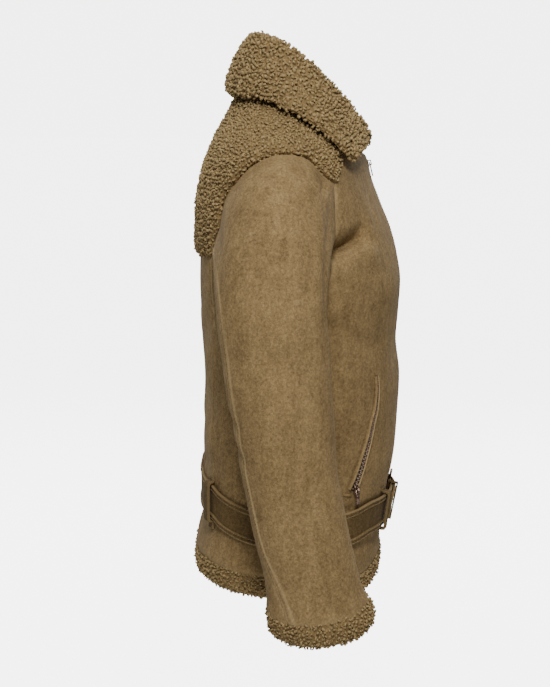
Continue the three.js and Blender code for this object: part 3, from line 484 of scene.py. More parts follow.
def line_of(start, end, count, level_of):
    """A line round the body from one angle to another, at the level that goes with each angle."""
    angles = np.linspace(start, end, count)
    return np.stack([angles, level_of(folded(angles))], -1)


def front_edge_angle(level):
    return np.degrees(np.arctan2(ZIP_HALF, trunk["front"](level)))


front_right_edge = np.vstack([side_seam, arm_front[1:], yoke_front_edge[1:]])
edge_levels = np.concatenate([
    np.linspace(hem_level(0), -250, SIDE_ROWS + 1), np.linspace(-250, -66, ARM_FRONT_ROWS + 1)[1:],
    np.linspace(-66, neck_level(0), YOKE_FRONT_ROWS + 1)[1:]])
front_edge = np.stack([front_edge_angle(edge_levels), edge_levels], -1)
front_hem = line_of(front_edge_angle(hem_level(0)), SIDE_SEAM[0][0], FRONT_COLUMNS + 1, hem_level)
front_neck = line_of(front_edge_angle(neck_level(0)), NECK_CORNER, FRONT_COLUMNS + 1, neck_level)
CREASE_LEVELS = (-205, -85)


def with_finer_rows(grid, low, high):
    """Twice the rows between two levels, where a crease needs them."""
    rows = [grid[0]]
    for below, above in zip(grid[:-1], grid[1:]):
        if low < below[-1, 1] < high:
            rows.append((below + above) / 2)
        rows.append(above)
    return np.array(rows)


front_grid = with_finer_rows(patch(front_hem, front_neck, front_edge, front_right_edge), *CREASE_LEVELS)

side_back_hem = line_of(SIDE_SEAM[0][0], SIDE_BACK_SEAM[0][0], SIDE_BACK_COLUMNS + 1, hem_level)
side_back_top = np.linspace(yoke_back_edge[0], yoke_back_edge[1], SIDE_BACK_COLUMNS + 1)
side_back_front_edge = np.vstack([side_seam, arm_back[::-1][1:]])
side_back_grid = patch(side_back_hem, side_back_top, side_back_front_edge, side_back_seam)


def across_back(half):
    """A half line from the right side, carried on to the left side past the centre back."""
    return np.vstack([half, other_side(half[:-1][::-1])])


def other_side(line):
    return line * [-1, 1] + [360, 0]


back_half_hem = line_of(SIDE_BACK_SEAM[0][0], 180, YOKE_BACK_STEPS, hem_level)
back_grid = patch(across_back(back_half_hem), across_back(yoke_back_edge[1:]),
                  side_back_seam, other_side(side_back_seam))
print("front", front_grid.shape[:2], "side back", side_back_grid.shape[:2], "back", back_grid.shape[:2])

# %% [markdown]
# The suede panels follow. Each one knows which of its edges are lapped: the side-back seam laps
# over the back, the front edge is turned in along the zip, and the others just dip.

# %% Suede panels of the trunk
EDGES = ("left", "right", "bottom", "top")


def suede_panel(name, grid, laps):
    """laps holds those of the edges left, right, bottom and top that are lapped."""
    flat, normal = on_skin(grid)
    height, painted_highlight = 0.0, 0.0
    for distance, edge in zip(edge_distance(flat), EDGES):
        rise, highlight_amount = lap_height(distance, edge in laps)
        height, painted_highlight = height + rise, np.maximum(painted_highlight, highlight_amount)
    outer = flat + normal * height[..., None]
    inner = flat - normal * WALL
    piece = wall(name, pull_edges(outer), pull_edges(inner))
    # painted highlight along the seams, stored for the suede shader to read
    paint(piece, "painted_highlight", np.concatenate([painted_highlight.ravel(), np.zeros(painted_highlight.size)]))
    cut_size(flat)
    return piece


panels = {}
for side, flip in SIDES:
    for part, grid, lapped_edge in (("front", front_grid, "left"), ("side_back", side_back_grid, "right")):
        panels[f"{part}_{side}"] = suede_panel(f"{part}_panel_{side}", grid * flip[:2], [lapped_edge])
panels["back"] = suede_panel("back_panel", back_grid, [])
print("panels:", {k: len(v.data.polygons) for k, v in panels.items()})

# %% [markdown]
# The sleeves are two-piece and set in. Rings of points start on the armhole, turn about the armpit
# while they become round, and then hang down the sleeve. The solids use a few rings; here a smooth
# curve through the same numbers gives many.

# %% Sleeve rings
CAP = np.array([    # turn, reach, y, depth, back seam, roundness
    [0, 218.5, 16, 70, -80, 0], [10, 205, 17, 69, -78, 0.08], [22, 183, 18, 67, -76, 0.25],
    [36, 159, 18.5, 65, -74, 0.5], [52, 138, 18, 63, -72, 0.78], [70, 122, 16.5, 62, -70, 0.96],
], float)
SLEEVE = np.array([    # level, x, y, lateral, depth, turn, back seam, tilt
    [-244, 255, 14, 52.5, 60.5, 88, -70, 0], [-280, 259, 11, 52.5, 59, 88, -70, 0],
    [-320, 263, 6, 52, 57, 88, -70, 0], [-360, 268, 1, 51.5, 55, 89, -70, 0],
    [-400, 273, -6, 51, 53.5, 91, -69, 0], [-440, 278, -14, 50, 53, 94, -66, 0],
    [-480, 282.5, -24, 49, 52, 97, -52, 0.05], [-502, 284.5, -28.5, 49.5, 53, 98.5, -43, 0.08],
    [-519, 286, -32, 52.5, 57, 100, -36, 0.1],
], float)
SLEEVE_ROWS = 100

armhole = np.vstack([arm_front[FRONT_SEAM_STEP:], arm_top[1:], arm_back[1:], arm_front[1:FRONT_SEAM_STEP]])
BACK_SEAM_STEP = ARM_FRONT_ROWS - FRONT_SEAM_STEP + ARM_TOP_STEPS
arm_points = skin(armhole[:, 0], armhole[:, 1], fine=False)
armpit = skin(ARMPIT_ANGLE, ARMPIT_LEVEL, fine=False)
hinge = np.array([armpit[0], 0, armpit[2] - ARMPIT_REACH])


def along_turn(turn):
    t = math.radians(turn)
    return np.array([math.sin(t), 0, math.cos(t)]), np.array([math.cos(t), 0, -math.sin(t)])


def cap_row(row):
    turn, reach, y, depth, seam, roundness = row
    centre = hinge + along_turn(turn)[0] * (reach + ARMPIT_REACH) / 2
    return [turn, centre[0], y, centre[2], (reach - ARMPIT_REACH) / 2, depth, seam, roundness, 0]


ring_rows = np.array([cap_row(r) for r in CAP]
                     + [[turn, x, y, level, lateral, depth, seam, 1, tilt]
                        for level, x, y, lateral, depth, turn, seam, tilt in SLEEVE])
step = np.arange(len(armhole))
before_seam = step <= BACK_SEAM_STEP


def sleeve_ring(row):
    turn, x, y, z, lateral, depth, seam, roundness, tilt = row
    up, out = along_turn(turn)
    under_share = (step - BACK_SEAM_STEP) / (len(armhole) - BACK_SEAM_STEP)
    angle = np.where(before_seam, FRONT_SEAM_TURN + (seam - FRONT_SEAM_TURN) * step / BACK_SEAM_STEP,
                     seam + (FRONT_SEAM_TURN - 360 - seam) * under_share)
    angle = np.radians(angle)
    high = 2 * (arm_points[:, 2] - hinge[2] - ARMPIT_REACH) / (CAP[0, 1] - ARMPIT_REACH) - 1
    deep = (arm_points[:, 1] - CAP[0, 2]) / CAP[0, 3]
    high = (high + (np.cos(angle) - high) * roundness) * lateral
    deep = (deep + (-np.sin(angle) - deep) * roundness) * depth
    aside = (arm_points[:, 0] - hinge[0]) * (1 - roundness)
    ring = np.array([x, y, z]) + high[:, None] * up + aside[:, None] * out
    ring[:, 1] += deep
    ring[:, 2] -= deep * tilt
    return ring


coarse_rings = np.array([sleeve_ring(r) for r in ring_rows])
ring_gap = np.linalg.norm(np.diff(coarse_rings, axis=0), axis=-1).mean(1)
ring_at = np.concatenate([[0], np.cumsum(ring_gap)])
ring_columns = [smooth_column(ring_at, ring_rows[:, k]) for k in range(ring_rows.shape[1])]


def rings_at(places):
    return np.array([sleeve_ring([float(c(p)) for c in ring_columns]) for p in places])


sleeve_places = np.linspace(0, ring_at[-1], SLEEVE_ROWS)
sleeve_rings = rings_at(sleeve_places)
sleeve_rings[0] += unit(sleeve_rings[1] - sleeve_rings[0]) * 2 * SEAM_SHUT
print("sleeve length along its middle:", round(ring_at[-1]), "mm;", len(armhole), "points round")

# %% [markdown]
# On the sleeve the cloth breaks softly inside the elbow and above the cuff. Its back seam is the
# one that shows: a lapped ridge with two rows of thread that turns forward above the wrist.

# %% Suede sleeves
SLEEVE_FOLDS = np.array([    # share of the way round, length down the sleeve, the same again, height, width
    [0.16, 262, 0.30, 250, -1.2, 12], [0.05, 300, 0.22, 284, -1.0, 10], [0.62, 272, 0.74, 256, -2.2, 9],
    [0.62, 236, 0.76, 226, -1.8, 9], [0.20, 470, 0.40, 486, -1.1, 12], [0.02, 440, 0.16, 452, 1.0, 12],
    [0.46, 392, 0.58, 404, -1.0, 10], [0.318, 14, 0.25, 120, 1.6, 9],
    [0.02, 110, 0.01, 250, -1.3, 8],
    [0.86, 120, 0.95, 200, -1.6, 10], [0.26, 150, 0.24, 330, 0.8, 18],
], float)
SLEEVE_CREASES = np.array([  # the same ends; height, width towards the outside, width towards the chest
    [0.288, 12, 0.197, 116, -8, 3.2, 25],
], float)
ROUND = 330.0


def tube_normals(grid, ring):
    """Normals of a tube made of rings; one ring tells which way is out."""
    turn = np.roll(grid, -1, 1) - np.roll(grid, 1, 1)
    normals = unit(np.cross(np.gradient(grid, axis=0), turn))
    outward = np.sum(normals[ring] * (grid[ring] - grid[ring].mean(0)), -1).mean()
    return -normals if outward < 0 else normals


sleeve_normals = tube_normals(sleeve_rings, 60)
fold_rows, crease_rows = SLEEVE_FOLDS.copy(), SLEEVE_CREASES.copy()
for rows in (fold_rows, crease_rows):
    rows[:, [0, 2]] *= ROUND
share = step / len(armhole) * ROUND
down = np.broadcast_to(sleeve_places[:, None], sleeve_rings.shape[:2])
fade = np.clip(sleeve_places / 28, 0, 1)[:, None]
around = np.broadcast_to(share, down.shape)
sleeve_fold = (fold_sum(fold_rows, around, down) + fold_sum(crease_rows, around, down)
               + 0.6 * slow_noise(sleeve_rings, 52, 5)) * fade


def round_columns(grid, start, end):
    return grid[:, np.arange(start, end + 1) % grid.shape[1]]


for side, flip in SIDES:
    for part, start, end, laps in (("top", 0, BACK_SEAM_STEP, ["right"]),
                                   ("under", BACK_SEAM_STEP, len(armhole), [])):
        rings = round_columns(sleeve_rings, start, end)
        normals = round_columns(sleeve_normals, start, end)
        height, painted_highlight = round_columns(sleeve_fold, start, end).copy(), 0.0
        edges = edge_distance(rings)
        for distance, edge in zip(edges, EDGES):
            rise, highlight_amount = lap_height(distance, edge in laps)
            height, painted_highlight = height + rise, np.maximum(painted_highlight, highlight_amount)
        height = height + 0.8 * bell(edges[2], 2.0, 3.0)      # the rolled edge under the yoke
        # painted highlight along the rolled edge under the yoke
        painted_highlight = np.maximum(painted_highlight, 0.9 * bell(edges[2], 1.8, 2.6))
        outer = pull_edges((rings + normals * height[..., None]) * flip)
        inner = pull_edges((rings - normals * WALL) * flip)
        name = f"sleeve_{part}_panel_{side}"
        panels[f"sleeve_{part}_{side}"] = wall(name, outer, inner)
        # painted highlight of the back seam and the rolled edge, stored for the suede shader to read
        paint(pieces_made[name], "painted_highlight", np.concatenate([painted_highlight.ravel(), np.zeros(painted_highlight.size)]))
        cut_size(rings)

# %% [markdown]
# The wool pieces start as the same kind of wall, a few millimetres thinner than the solids,
# because curls will stand on them. Their surface rolls a little, as a fleece does.

# %% Yoke and hem band
yoke_outer_half = np.vstack([arm_top, yoke_back_edge[1:]])
yoke_neck_half = np.vstack([
    line_of(NECK_CORNER, YOKE_NECK_CORNER, ARM_TOP_STEPS + 1, neck_level),
    line_of(YOKE_NECK_CORNER, 180, YOKE_BACK_STEPS + 1, neck_level)[1:]])
yoke_grid = patch(across_back(yoke_outer_half), across_back(yoke_neck_half),
                  yoke_front_edge, other_side(yoke_front_edge))
yoke_flat, yoke_normal = on_skin(yoke_grid)
y_left, y_right, y_bottom, y_top = edge_distance(yoke_flat)
rim_distance = np.minimum(np.minimum(y_left, y_right), y_bottom)
swell = 1 - bell(rim_distance, 7)
yoke_lift = (YOKE_EDGE_WOOL + (YOKE_WOOL - YOKE_EDGE_WOOL) * swell) * np.clip(y_top / 14, 0, 1)
yoke_lift = yoke_lift + 0.9 * slow_noise(yoke_flat, 17, 9) * np.clip(y_top / 14, 0, 1)
yoke_outer = yoke_flat + yoke_normal * yoke_lift[..., None]
yoke = wall("yoke_fleece", pull_edges(yoke_outer), pull_edges(yoke_flat - yoke_normal * YOKE_INNER))
cut_size(yoke_flat)

HEM_BAND = np.array([      # drop below the suede, lift of the outer face, lift of the inner face
    [0, -1.5, -7], [3, -1, -9], [8, 0, -9.5], [15, 0.5, -10], [21, -1, -9.5], [25, -4.5, -8]], float)
band_half = np.vstack([front_hem, side_back_hem[1:], back_half_hem[1:]])
band_top = across_back(band_half)
band_drop = np.linspace(0, HEM_BAND[-1, 0], 17)


def band_grid(column):
    lift = columns_of(HEM_BAND)[column](band_drop)[:, None]
    return skin(band_top[None, :, 0], band_top[None, :, 1] - band_drop[:, None], lift)


hem_outer = band_grid(0)
hem_normal = skin_normal(band_top[None, :, 0], band_top[None, :, 1] - band_drop[:, None])
hem_outer = hem_outer + hem_normal * (0.8 * slow_noise(hem_outer, 15, 11))[..., None]
hem_band = wall("hem_fleece", pull_edges(hem_outer), pull_edges(band_grid(1)))
cut_size(hem_outer)

# %% Cuffs
CUFF_BASE = np.array([     # drop, shift forwards, lift of the outer face, lift of the inner face
    [0, 0, -1.5, -8], [4, -1.8, 0, -11], [9, -3.2, 1.2, -12], [15, -4.5, 1.2, -12.5],
    [21, -5.2, -1, -12], [25.5, -5.6, -4.5, -9.5]], float)
cuff_drop = np.linspace(0, CUFF_BASE[-1, 0], 15)
cuff_column = columns_of(CUFF_BASE)
wrist = ring_rows[-1]


def cuff_ring(drop):
    row = wrist.copy()
    row[2] += float(cuff_column[0](drop))
    row[3] -= drop
    return sleeve_ring(row)


cuff_rings = np.array([cuff_ring(d) for d in cuff_drop])
cuff_normals = tube_normals(np.concatenate([sleeve_rings[-2:-1], cuff_rings]), 5)[1:]
cuff_normals[0] = sleeve_normals[-1]
cuff_outer = cuff_rings + cuff_normals * cuff_column[1](cuff_drop)[:, None, None]
cuff_outer = cuff_outer + cuff_normals * (0.8 * slow_noise(cuff_outer, 15, 13))[..., None]
cuff_inner = cuff_rings + cuff_normals * cuff_column[2](cuff_drop)[:, None, None]
cuffs = {}
for side, flip in SIDES:
    faces = (pull_edges(face * flip, around=True) for face in (cuff_outer, cuff_inner))
    cuffs[side] = wall(f"cuff_fleece_{side}", *faces, around=True)
    cut_size(np.concatenate([cuff_outer, cuff_outer[:, :1]], 1))

# %% [markdown]
# The collar is one strip: it stands up inside the neck, folds over and falls on the shoulders.
# Each row of its table gives, for a place on the neck seam, the middle of the fold and the spot on
# the body where the falling edge rests.

# %% Collar
COLLAR = np.array([    # angle, fold x, y, z, edge angle, edge level, edge lift
    [8, 22, -100, -14, 61, -39, 15], [22, 42, -90, 4, 68, -31, 15], [40, 63, -73, 26, 75, -15, 15],
    [60, 77, -49, 52, 82.5, -1, 15.5], [80, 80, -24, 76, 94, 14, 16.5], [100, 74, -1, 94, 106, 24, 16.5],
    [125, 58, 20, 105.5, 123, 29.5, 15.5], [150, 34, 34, 109, 148, 37, 15], [180, 0, 37, 108.5, 180, 44, 15],
], float)
collar_column = columns_of(COLLAR)
collar_angles = np.linspace(8, 180, 110)


def curve_through(points, steps):
    """Even steps along a smooth curve through a short list of points."""
    p = with_ends(points)
    t = np.linspace(0, 1, 12)[:, None]
    return even_steps([0.5 * (2 * b + (c - a) * t + (2 * a - 5 * b + 4 * c - d) * t ** 2
                              + (3 * b - a - 3 * c + d) * t ** 3)
                       for a, b, c, d in zip(p, p[1:], p[2:], p[3:])], steps)


def collar_station(angle):
    fx, fy, fz, edge_angle, edge_level, edge_lift = (float(c(angle)) for c in collar_column)
    fold = np.array([fx, fy, fz])
    edge = skin(edge_angle, edge_level, edge_lift)
    neck = skin(angle, float(neck_level(angle)), fine=False)
    along = skin(angle - 1, float(neck_level(angle - 1)), fine=False) - neck
    inward = unit(np.array([along[1], -along[0], 0]))
    base = neck + inward * (6.5 + COLLAR_CLEAR)
    base[2] = neck[2] + 2 * GAP
    to_edge, to_base = unit(edge - fold), unit(base - fold)
    down_way, out_way = unit(to_edge + to_base), unit(to_edge - to_base)

    def turn(degrees):
        t = math.radians(degrees)
        return fold + COLLAR_FOLD_RADIUS * (down_way * (1 - math.cos(t)) + out_way * math.sin(t))
    first, last = turn(-80), turn(80)
    fall = [last + (edge - last) * share_of_fall + out_way * 3 for share_of_fall in (0.35, 0.72)]
    line = np.array([base, (base + first) / 2 - out_way * 1.5, first, turn(-35), turn(35), last, *fall, edge])
    line = curve_through(line, 56)
    across = unit(np.cross(out_way, down_way))
    normal = unit(np.cross(np.gradient(line, axis=0), across))
    return line, normal


stations = [collar_station(a) for a in collar_angles]
collar_line = np.array([s[0] for s in stations])
collar_normal = np.array([s[1] for s in stations])
flip_x = np.array([-1, 1, 1])
collar_mid = np.concatenate([collar_line, collar_line[:-1][::-1] * flip_x]).transpose(1, 0, 2)
collar_out = np.concatenate([collar_normal, collar_normal[:-1][::-1] * flip_x]).transpose(1, 0, 2)
c_left, c_right, c_bottom, c_top = edge_distance(collar_mid)
collar_rim = np.minimum(np.minimum(c_left, c_right), c_top)
collar_half = COLLAR_HALF - 2.2 * bell(collar_rim, 6)
lumps = 1.0 * slow_noise(collar_mid, 17, 17) * np.clip(c_bottom / 20, 0, 1)
wool_face = collar_mid + collar_out * (collar_half + lumps)[..., None]
under_face = collar_mid - collar_out * collar_half[..., None]
collar = wall("collar_fleece", pull_edges(wool_face, half=1.0), pull_edges(under_face, half=1.0))
cut_size(collar_mid)

# %% [markdown]
# Curls are the look of the wool side. A few small locks are modelled as tapered tubes that
# rise and roll over. Geometry Nodes scatter them on the fleece a lock's width apart, each turned,
# leaned and scaled at random from a fixed seed, and then make them real geometry.

# %% Locks of wool
def little_part(name, points, faces):
    """A small mesh in metres with its faces turned outwards, not itself in the scene."""
    mesh = bpy.data.meshes.new(name)
    mesh.from_pydata((np.array(points) * MM).tolist(), [], faces)
    bm = bmesh.new()
    bm.from_mesh(mesh)
    bmesh.ops.recalc_face_normals(bm, faces=bm.faces)
    bm.to_mesh(mesh)
    bm.free()
    mesh.shade_smooth()
    return bpy.data.objects.new(name, mesh)


def lock_mesh(name, turns, radius, rise, side_step, thick):
    """A tapered curl in metres, rooted at the origin; the value 'tip' grows from root to end."""
    rings, sides = 4, 5
    t = np.linspace(0, 1, rings + 1)
    bend = np.radians(turns) * np.clip((t - 0.15) / 0.85, 0, 1)
    up = rise * np.minimum(t / 0.15, 1) + radius * np.sin(bend)
    line = np.stack([radius * (1 - np.cos(bend)), side_step * t, up], -1)
    line[0, 2] = -1.2
    way = unit(np.gradient(line, axis=0))
    aside = np.array([0.0, 1.0, 0.0])
    other = unit(np.cross(way, aside))
    points, tips, faces = [], [], []
    for k in range(rings):
        wide = thick * (1 - 0.45 * t[k]) * (0.75 if k == 0 else 1)
        for s in range(sides):
            a = 2 * math.pi * s / sides + 0.6 * k
            points.append(line[k] + wide * (math.cos(a) * aside + math.sin(a) * other[k]))
            tips.append(t[k])
    points.append(line[-1])
    tips.append(1)
    for k in range(rings - 1):
        for s in range(sides):
            n = (s + 1) % sides
            faces.append((k * sides + s, k * sides + n, (k + 1) * sides + n, (k + 1) * sides + s))
    for s in range(sides):
        faces.append(((rings - 1) * sides + s, (rings - 1) * sides + (s + 1) % sides, rings * sides))
    lock = little_part(name, points, faces)
    paint(lock, "tip", tips)
    return lock


LOCKS = [      # turn in degrees, curl radius, rise, side step, thickness
    lock_mesh("lock_hook", 225, 1.35, 0.6, 1.3, 1.7),
    lock_mesh("lock_roll", 280, 1.2, 0.4, -1.6, 1.6),
    lock_mesh("lock_nub", 180, 1.2, 0.7, 0.5, 1.9),
    lock_mesh("lock_tuft", 130, 1.6, 1.3, -0.9, 1.4),
]
print("one lock has", sum(len(p.vertices) - 2 for p in LOCKS[0].data.polygons), "triangles")

# %% Small helpers for node trees
def join(tree, source, target):
    tree.links.new(source, target)


def add(tree, kind, inputs=None, **properties):
    """A node with its properties set, and each input given a value or joined to a socket."""
    made = tree.nodes.new(kind)
    for name, value in properties.items():
        setattr(made, name, value)
    for name, value in (inputs or {}).items():
        if isinstance(value, bpy.types.NodeSocket):
            join(tree, value, made.inputs[name])
        else:
            made.inputs[name].default_value = value
    return made


def maths(tree, operation, a, b):
    return add(tree, "ShaderNodeMath", {0: a, 1: b}, operation=operation).outputs[0]


def group_tree(name, kind, inputs, outputs):
    """A node group with named inputs and outputs, and the two nodes that stand for them."""
    tree = bpy.data.node_groups.new(name, kind)
    for label, socket_kind, value in inputs:
        socket = tree.interface.new_socket(label, in_out="INPUT", socket_type=socket_kind)
        if value is not None:
            socket.default_value = value
    for label, socket_kind in outputs:
        tree.interface.new_socket(label, in_out="OUTPUT", socket_type=socket_kind)
    return tree, tree.nodes.new("NodeGroupInput"), tree.nodes.new("NodeGroupOutput")


GEOMETRY, FLOAT, COLOR = "NodeSocketGeometry", "NodeSocketFloat", "NodeSocketColor"


def growing_tree(name, inputs):
    """A Geometry Nodes tree with a Geometry input and output and the named sizes."""
    geometry = ("Geometry", GEOMETRY)
    return group_tree(name, "GeometryNodeTree", [(*geometry, None), *inputs], [geometry])


def grow(name, carrier, tree, values):
    """Run a tree on a carrier mesh and keep the result as a plain mesh object."""
    modifier = carrier.modifiers.new("grow", "NODES")
    modifier.node_group = tree
    for item in tree.interface.items_tree:
        if item.in_out == "INPUT" and item.name in values:
            modifier[item.identifier] = values[item.name]
    graph = bpy.context.evaluated_depsgraph_get()
    mesh = bpy.data.meshes.new_from_object(carrier.evaluated_get(graph))
    mesh.name = name
    bpy.data.objects.remove(carrier)
    return kept(name, mesh)


def end_tree(tree, output, geometry, material):
    """Every tree ends in real geometry with its material set."""
    real = add(tree, "GeometryNodeRealizeInstances", {"Geometry": geometry})
    dressed = add(tree, "GeometryNodeSetMaterial", {
        "Geometry": real.outputs["Geometry"], "Material": material})
    join(tree, dressed.outputs["Geometry"], output.inputs["Geometry"])


MATERIAL_NAMES = ["wool_curl", "fleece_foot", "suede", "belt_suede", "thread", "antique_copper", "tooth_metal",
                  "zip_tape"]
wool_curl, fleece_foot, suede, belt_suede, thread, copper, tooth_metal, zip_tape = (
    bpy.data.materials.new(name) for name in MATERIAL_NAMES)
print("materials named:", MATERIAL_NAMES)

# %% Tree that scatters the locks
def random_value(tree, kind, low, high, seed):
    made = add(tree, "FunctionNodeRandomValue", {"Seed": seed}, data_type=kind)
    lowest, highest = [s for s in made.inputs if s.enabled][:2]
    lowest.default_value, highest.default_value = low, high
    return next(s for s in made.outputs if s.enabled)


MOST_ROOTS = 400000      # a square metre, before the spacing thins them
curl_tree, enter, leave = growing_tree("scatter_curls", [
    ("Spacing", FLOAT, 0.004), ("Lock Size", FLOAT, 1.0), ("Lean", FLOAT, 0.5), ("Seed", "NodeSocketInt", 1)])
seed = enter.outputs["Seed"]
points = add(curl_tree, "GeometryNodeDistributePointsOnFaces", {
    "Mesh": enter.outputs["Geometry"], "Distance Min": enter.outputs["Spacing"],
    "Density Max": MOST_ROOTS, "Seed": seed}, distribute_method="POISSON")
variants = add(curl_tree, "GeometryNodeJoinGeometry")
for lock in LOCKS:
    info = add(curl_tree, "GeometryNodeObjectInfo", {"Object": lock, "As Instance": True})
    join(curl_tree, info.outputs["Geometry"], variants.inputs["Geometry"])
any_way = random_value(curl_tree, "FLOAT_VECTOR", (-1, -1, -9), (1, 1, 9), seed)
lean = add(curl_tree, "ShaderNodeVectorMath", {0: any_way, "Scale": enter.outputs["Lean"]}, operation="SCALE")
leaning = add(curl_tree, "FunctionNodeEulerToRotation", {"Euler": lean.outputs["Vector"]})
turned = add(curl_tree, "FunctionNodeRotateRotation", {
    "Rotation": points.outputs["Rotation"], "Rotate By": leaning.outputs["Rotation"]}, rotation_space="LOCAL")
any_size = random_value(curl_tree, "FLOAT", 0.72, 1.25, seed)
place = add(curl_tree, "GeometryNodeInstanceOnPoints", {
    "Points": points.outputs["Points"], "Instance": variants.outputs["Geometry"], "Pick Instance": True,
    "Instance Index": random_value(curl_tree, "INT", 0, len(LOCKS) - 1, seed),
    "Rotation": turned.outputs["Rotation"],
    "Scale": maths(curl_tree, "MULTIPLY", any_size, enter.outputs["Lock Size"])})
end_tree(curl_tree, leave, place.outputs["Instances"], wool_curl)
print("curl tree nodes:", len(curl_tree.nodes))

# %% Grow the curls on each wool piece
def wool_carrier(piece, slots):
    """A copy of a fleece with only the faces whose slot carries wool."""
    bm = bmesh.new()
    bm.from_mesh(piece.data)
    bmesh.ops.delete(bm, geom=[f for f in bm.faces if f.material_index not in slots], context="FACES")
    mesh = bpy.data.meshes.new("carrier")
    bm.to_mesh(mesh)
    bm.free()
    return linked("carrier", mesh)


def triangles(piece):
    return sum(len(p.vertices) - 2 for p in piece.data.polygons)


curls = {}
for name, piece, slots, spacing, size, seed in [
    ("yoke_curls", yoke, {0}, 0.0036, 0.98, 3), ("collar_curls", collar, {0}, 0.0040, 1.2, 5),
    ("hem_curls", hem_band, {0, 1}, 0.0036, 0.9, 7),
    ("cuff_curls_R", cuffs["R"], {0, 1}, 0.0036, 0.92, 11),
    ("cuff_curls_L", cuffs["L"], {0, 1}, 0.0036, 0.92, 13),
]:
    values = {"Spacing": spacing, "Lock Size": size, "Lean": 0.5, "Seed": seed}
    curls[name] = grow(name, wool_carrier(piece, slots), curl_tree, values)
    print(name, triangles(curls[name]), "triangles")

# %% [markdown]
# The belt is a strap of the same suede, edged on both sides with a doubled band. It starts behind
# the buckle, goes once round the waist, and its tail passes through the buckle and the keeper.
# It touches the body at the back and stands off it in front, where the waist is narrower.

# %% Belt
BELT_START, BELT_END, RAMP_START, RAMP_END, BELT_OVERLAP = 3, 388, 347, 360, 4.4
BELT_BAND = 7.5
belt_angles = np.linspace(BELT_START, BELT_END, 330)
half_across = np.array([0, 4, 8, 11, 12.4, 13.1, 13.7, 14.3, 15, 16.2, 17.8, 19.2, 20.2, 20.8, 21])
belt_across = np.concatenate([-half_across[::-1], half_across[1:]])


def belt_rise(angle):
    t = np.clip((angle - RAMP_START) / (RAMP_END - RAMP_START), 0, 1)
    return BELT_OVERLAP * t * t * (3 - 2 * t)


def belt_surface(lift, across):
    """Belt points for lifts over its inner face; the tail ends in a rounded point."""
    left = np.clip((BELT_END - belt_angles) * 2.3 / 12, 0, 1)
    taper = np.sqrt(1 - (1 - left) ** 2)[None, :] * 0.985 + 0.015
    level = belt_level(folded(belt_angles))[None, :] + across[:, None] * taper
    base = (belt_stand(folded(belt_angles)) + belt_rise(belt_angles))[None, :]
    return skin(-belt_angles[None, :], level, base + lift, fine=False)


far_in = BELT_WIDTH / 2 - np.abs(belt_across)
band = 1 / (1 + np.exp((far_in - BELT_BAND) / 0.35))
belt_high = BELT_THICK - 0.9 + 0.8 * band - 1.4 * bell(far_in, 0.7)
belt_high = belt_high - 0.5 * bell(far_in, 0.6, BELT_BAND + 0.5)
belt_low = 0.72 * bell(far_in, 0.7)
belt_outer, belt_inner = (belt_surface(lift[:, None], belt_across) for lift in (belt_high, belt_low))
belt = wall("belt_strap", belt_outer, belt_inner)
# painted highlight on the strap's outer edges and on the ridge of each doubled band
belt_highlight = bell(far_in, 0.9, 0.8) + 0.7 * bell(far_in, 0.8, BELT_BAND - 0.6)
paint(belt, "painted_highlight", np.tile(np.repeat(belt_highlight, len(belt_angles)), 2))
cut_size(belt_outer)

# %% Belt loops
# angle, width, reach above the belt, reach below it, height of the foot over the suede
LOOPS = {"front": (41, 10, 3.5, 2.5, 0.5), "back": (122.8, 13, 4, 9, 1.2)}
LOOP_THICK, LOOP_ROOM, LOOP_STEPS = 2.4, 2.2, 46
loop_across = np.linspace(-1, 1, 9)


def loop_lines(angle, above, below, foot):
    """The outer and inner line of a loop: distance from the belt's middle, and lift."""
    top = float(belt_stand(angle)) + 3.2 + LOOP_ROOM
    edge = BELT_WIDTH / 2
    lines = []
    for outer in (True, False):
        halves = []
        for over, way in ((above, 1), (below, -1)):
            if outer:
                half = [[edge + 3 + over, foot + 1.2], [edge + 2.4 + over, foot + LOOP_THICK],
                        [edge + 3.8, foot + LOOP_THICK], [edge + 3, top + 1],
                        [edge + 0.2, top + LOOP_THICK - 0.2], [edge - 4, top + LOOP_THICK]]
            else:
                half = [[edge + 2.8 + over, foot], [edge + 1.6 + over, foot],
                        [edge + 2.6, foot], [edge + 0.9, top - 1.4], [edge - 1, top], [edge - 4, top]]
            halves.append(np.array(half, float) * [way, 1])
        whole = np.vstack([halves[0], halves[1][::-1]])
        lines.append(curve_through(whole, LOOP_STEPS))
    return lines


loops = {}
for place_name, (angle, loop_width, above, below, foot) in LOOPS.items():
    outer_line, inner_line = loop_lines(angle, above, below, foot)
    middle = skin(angle, float(belt_level(angle)))
    half_angle = math.degrees(loop_width / 2 / math.hypot(middle[0], middle[1]))
    roll = 0.35 * bell(np.abs(loop_across), 0.12, 0.72) - 0.9 * bell(np.abs(loop_across), 0.12, 1)
    for side, flip in SIDES:
        grids = [skin(angle + loop_across[None, :] * half_angle, float(belt_level(angle)) + line[:, :1],
                      line[:, 1:] + extra[None, :], fine=False) * flip
                 for line, extra in ((outer_line, roll), (inner_line, -0.2 * roll))]
        loop = loops[f"{place_name}_{side}"] = wall(f"loop_{place_name}_{side}", *grids)
        # painted highlight on the loop's two rolled edges
        paint(loop, "painted_highlight", np.tile(0.4 * (np.abs(loop_across) > 0.7), 2 * LOOP_STEPS))
        cut_size(grids[0])
print("loops:", list(loops))

# %% [markdown]
# The pocket zips slant across the fronts. Each has a tape in the slit, a rolled suede welt on both
# sides, and metal teeth. A tooth is one small block; Geometry Nodes put one at each place along
# the tape, turned by the two directions stored with that place.

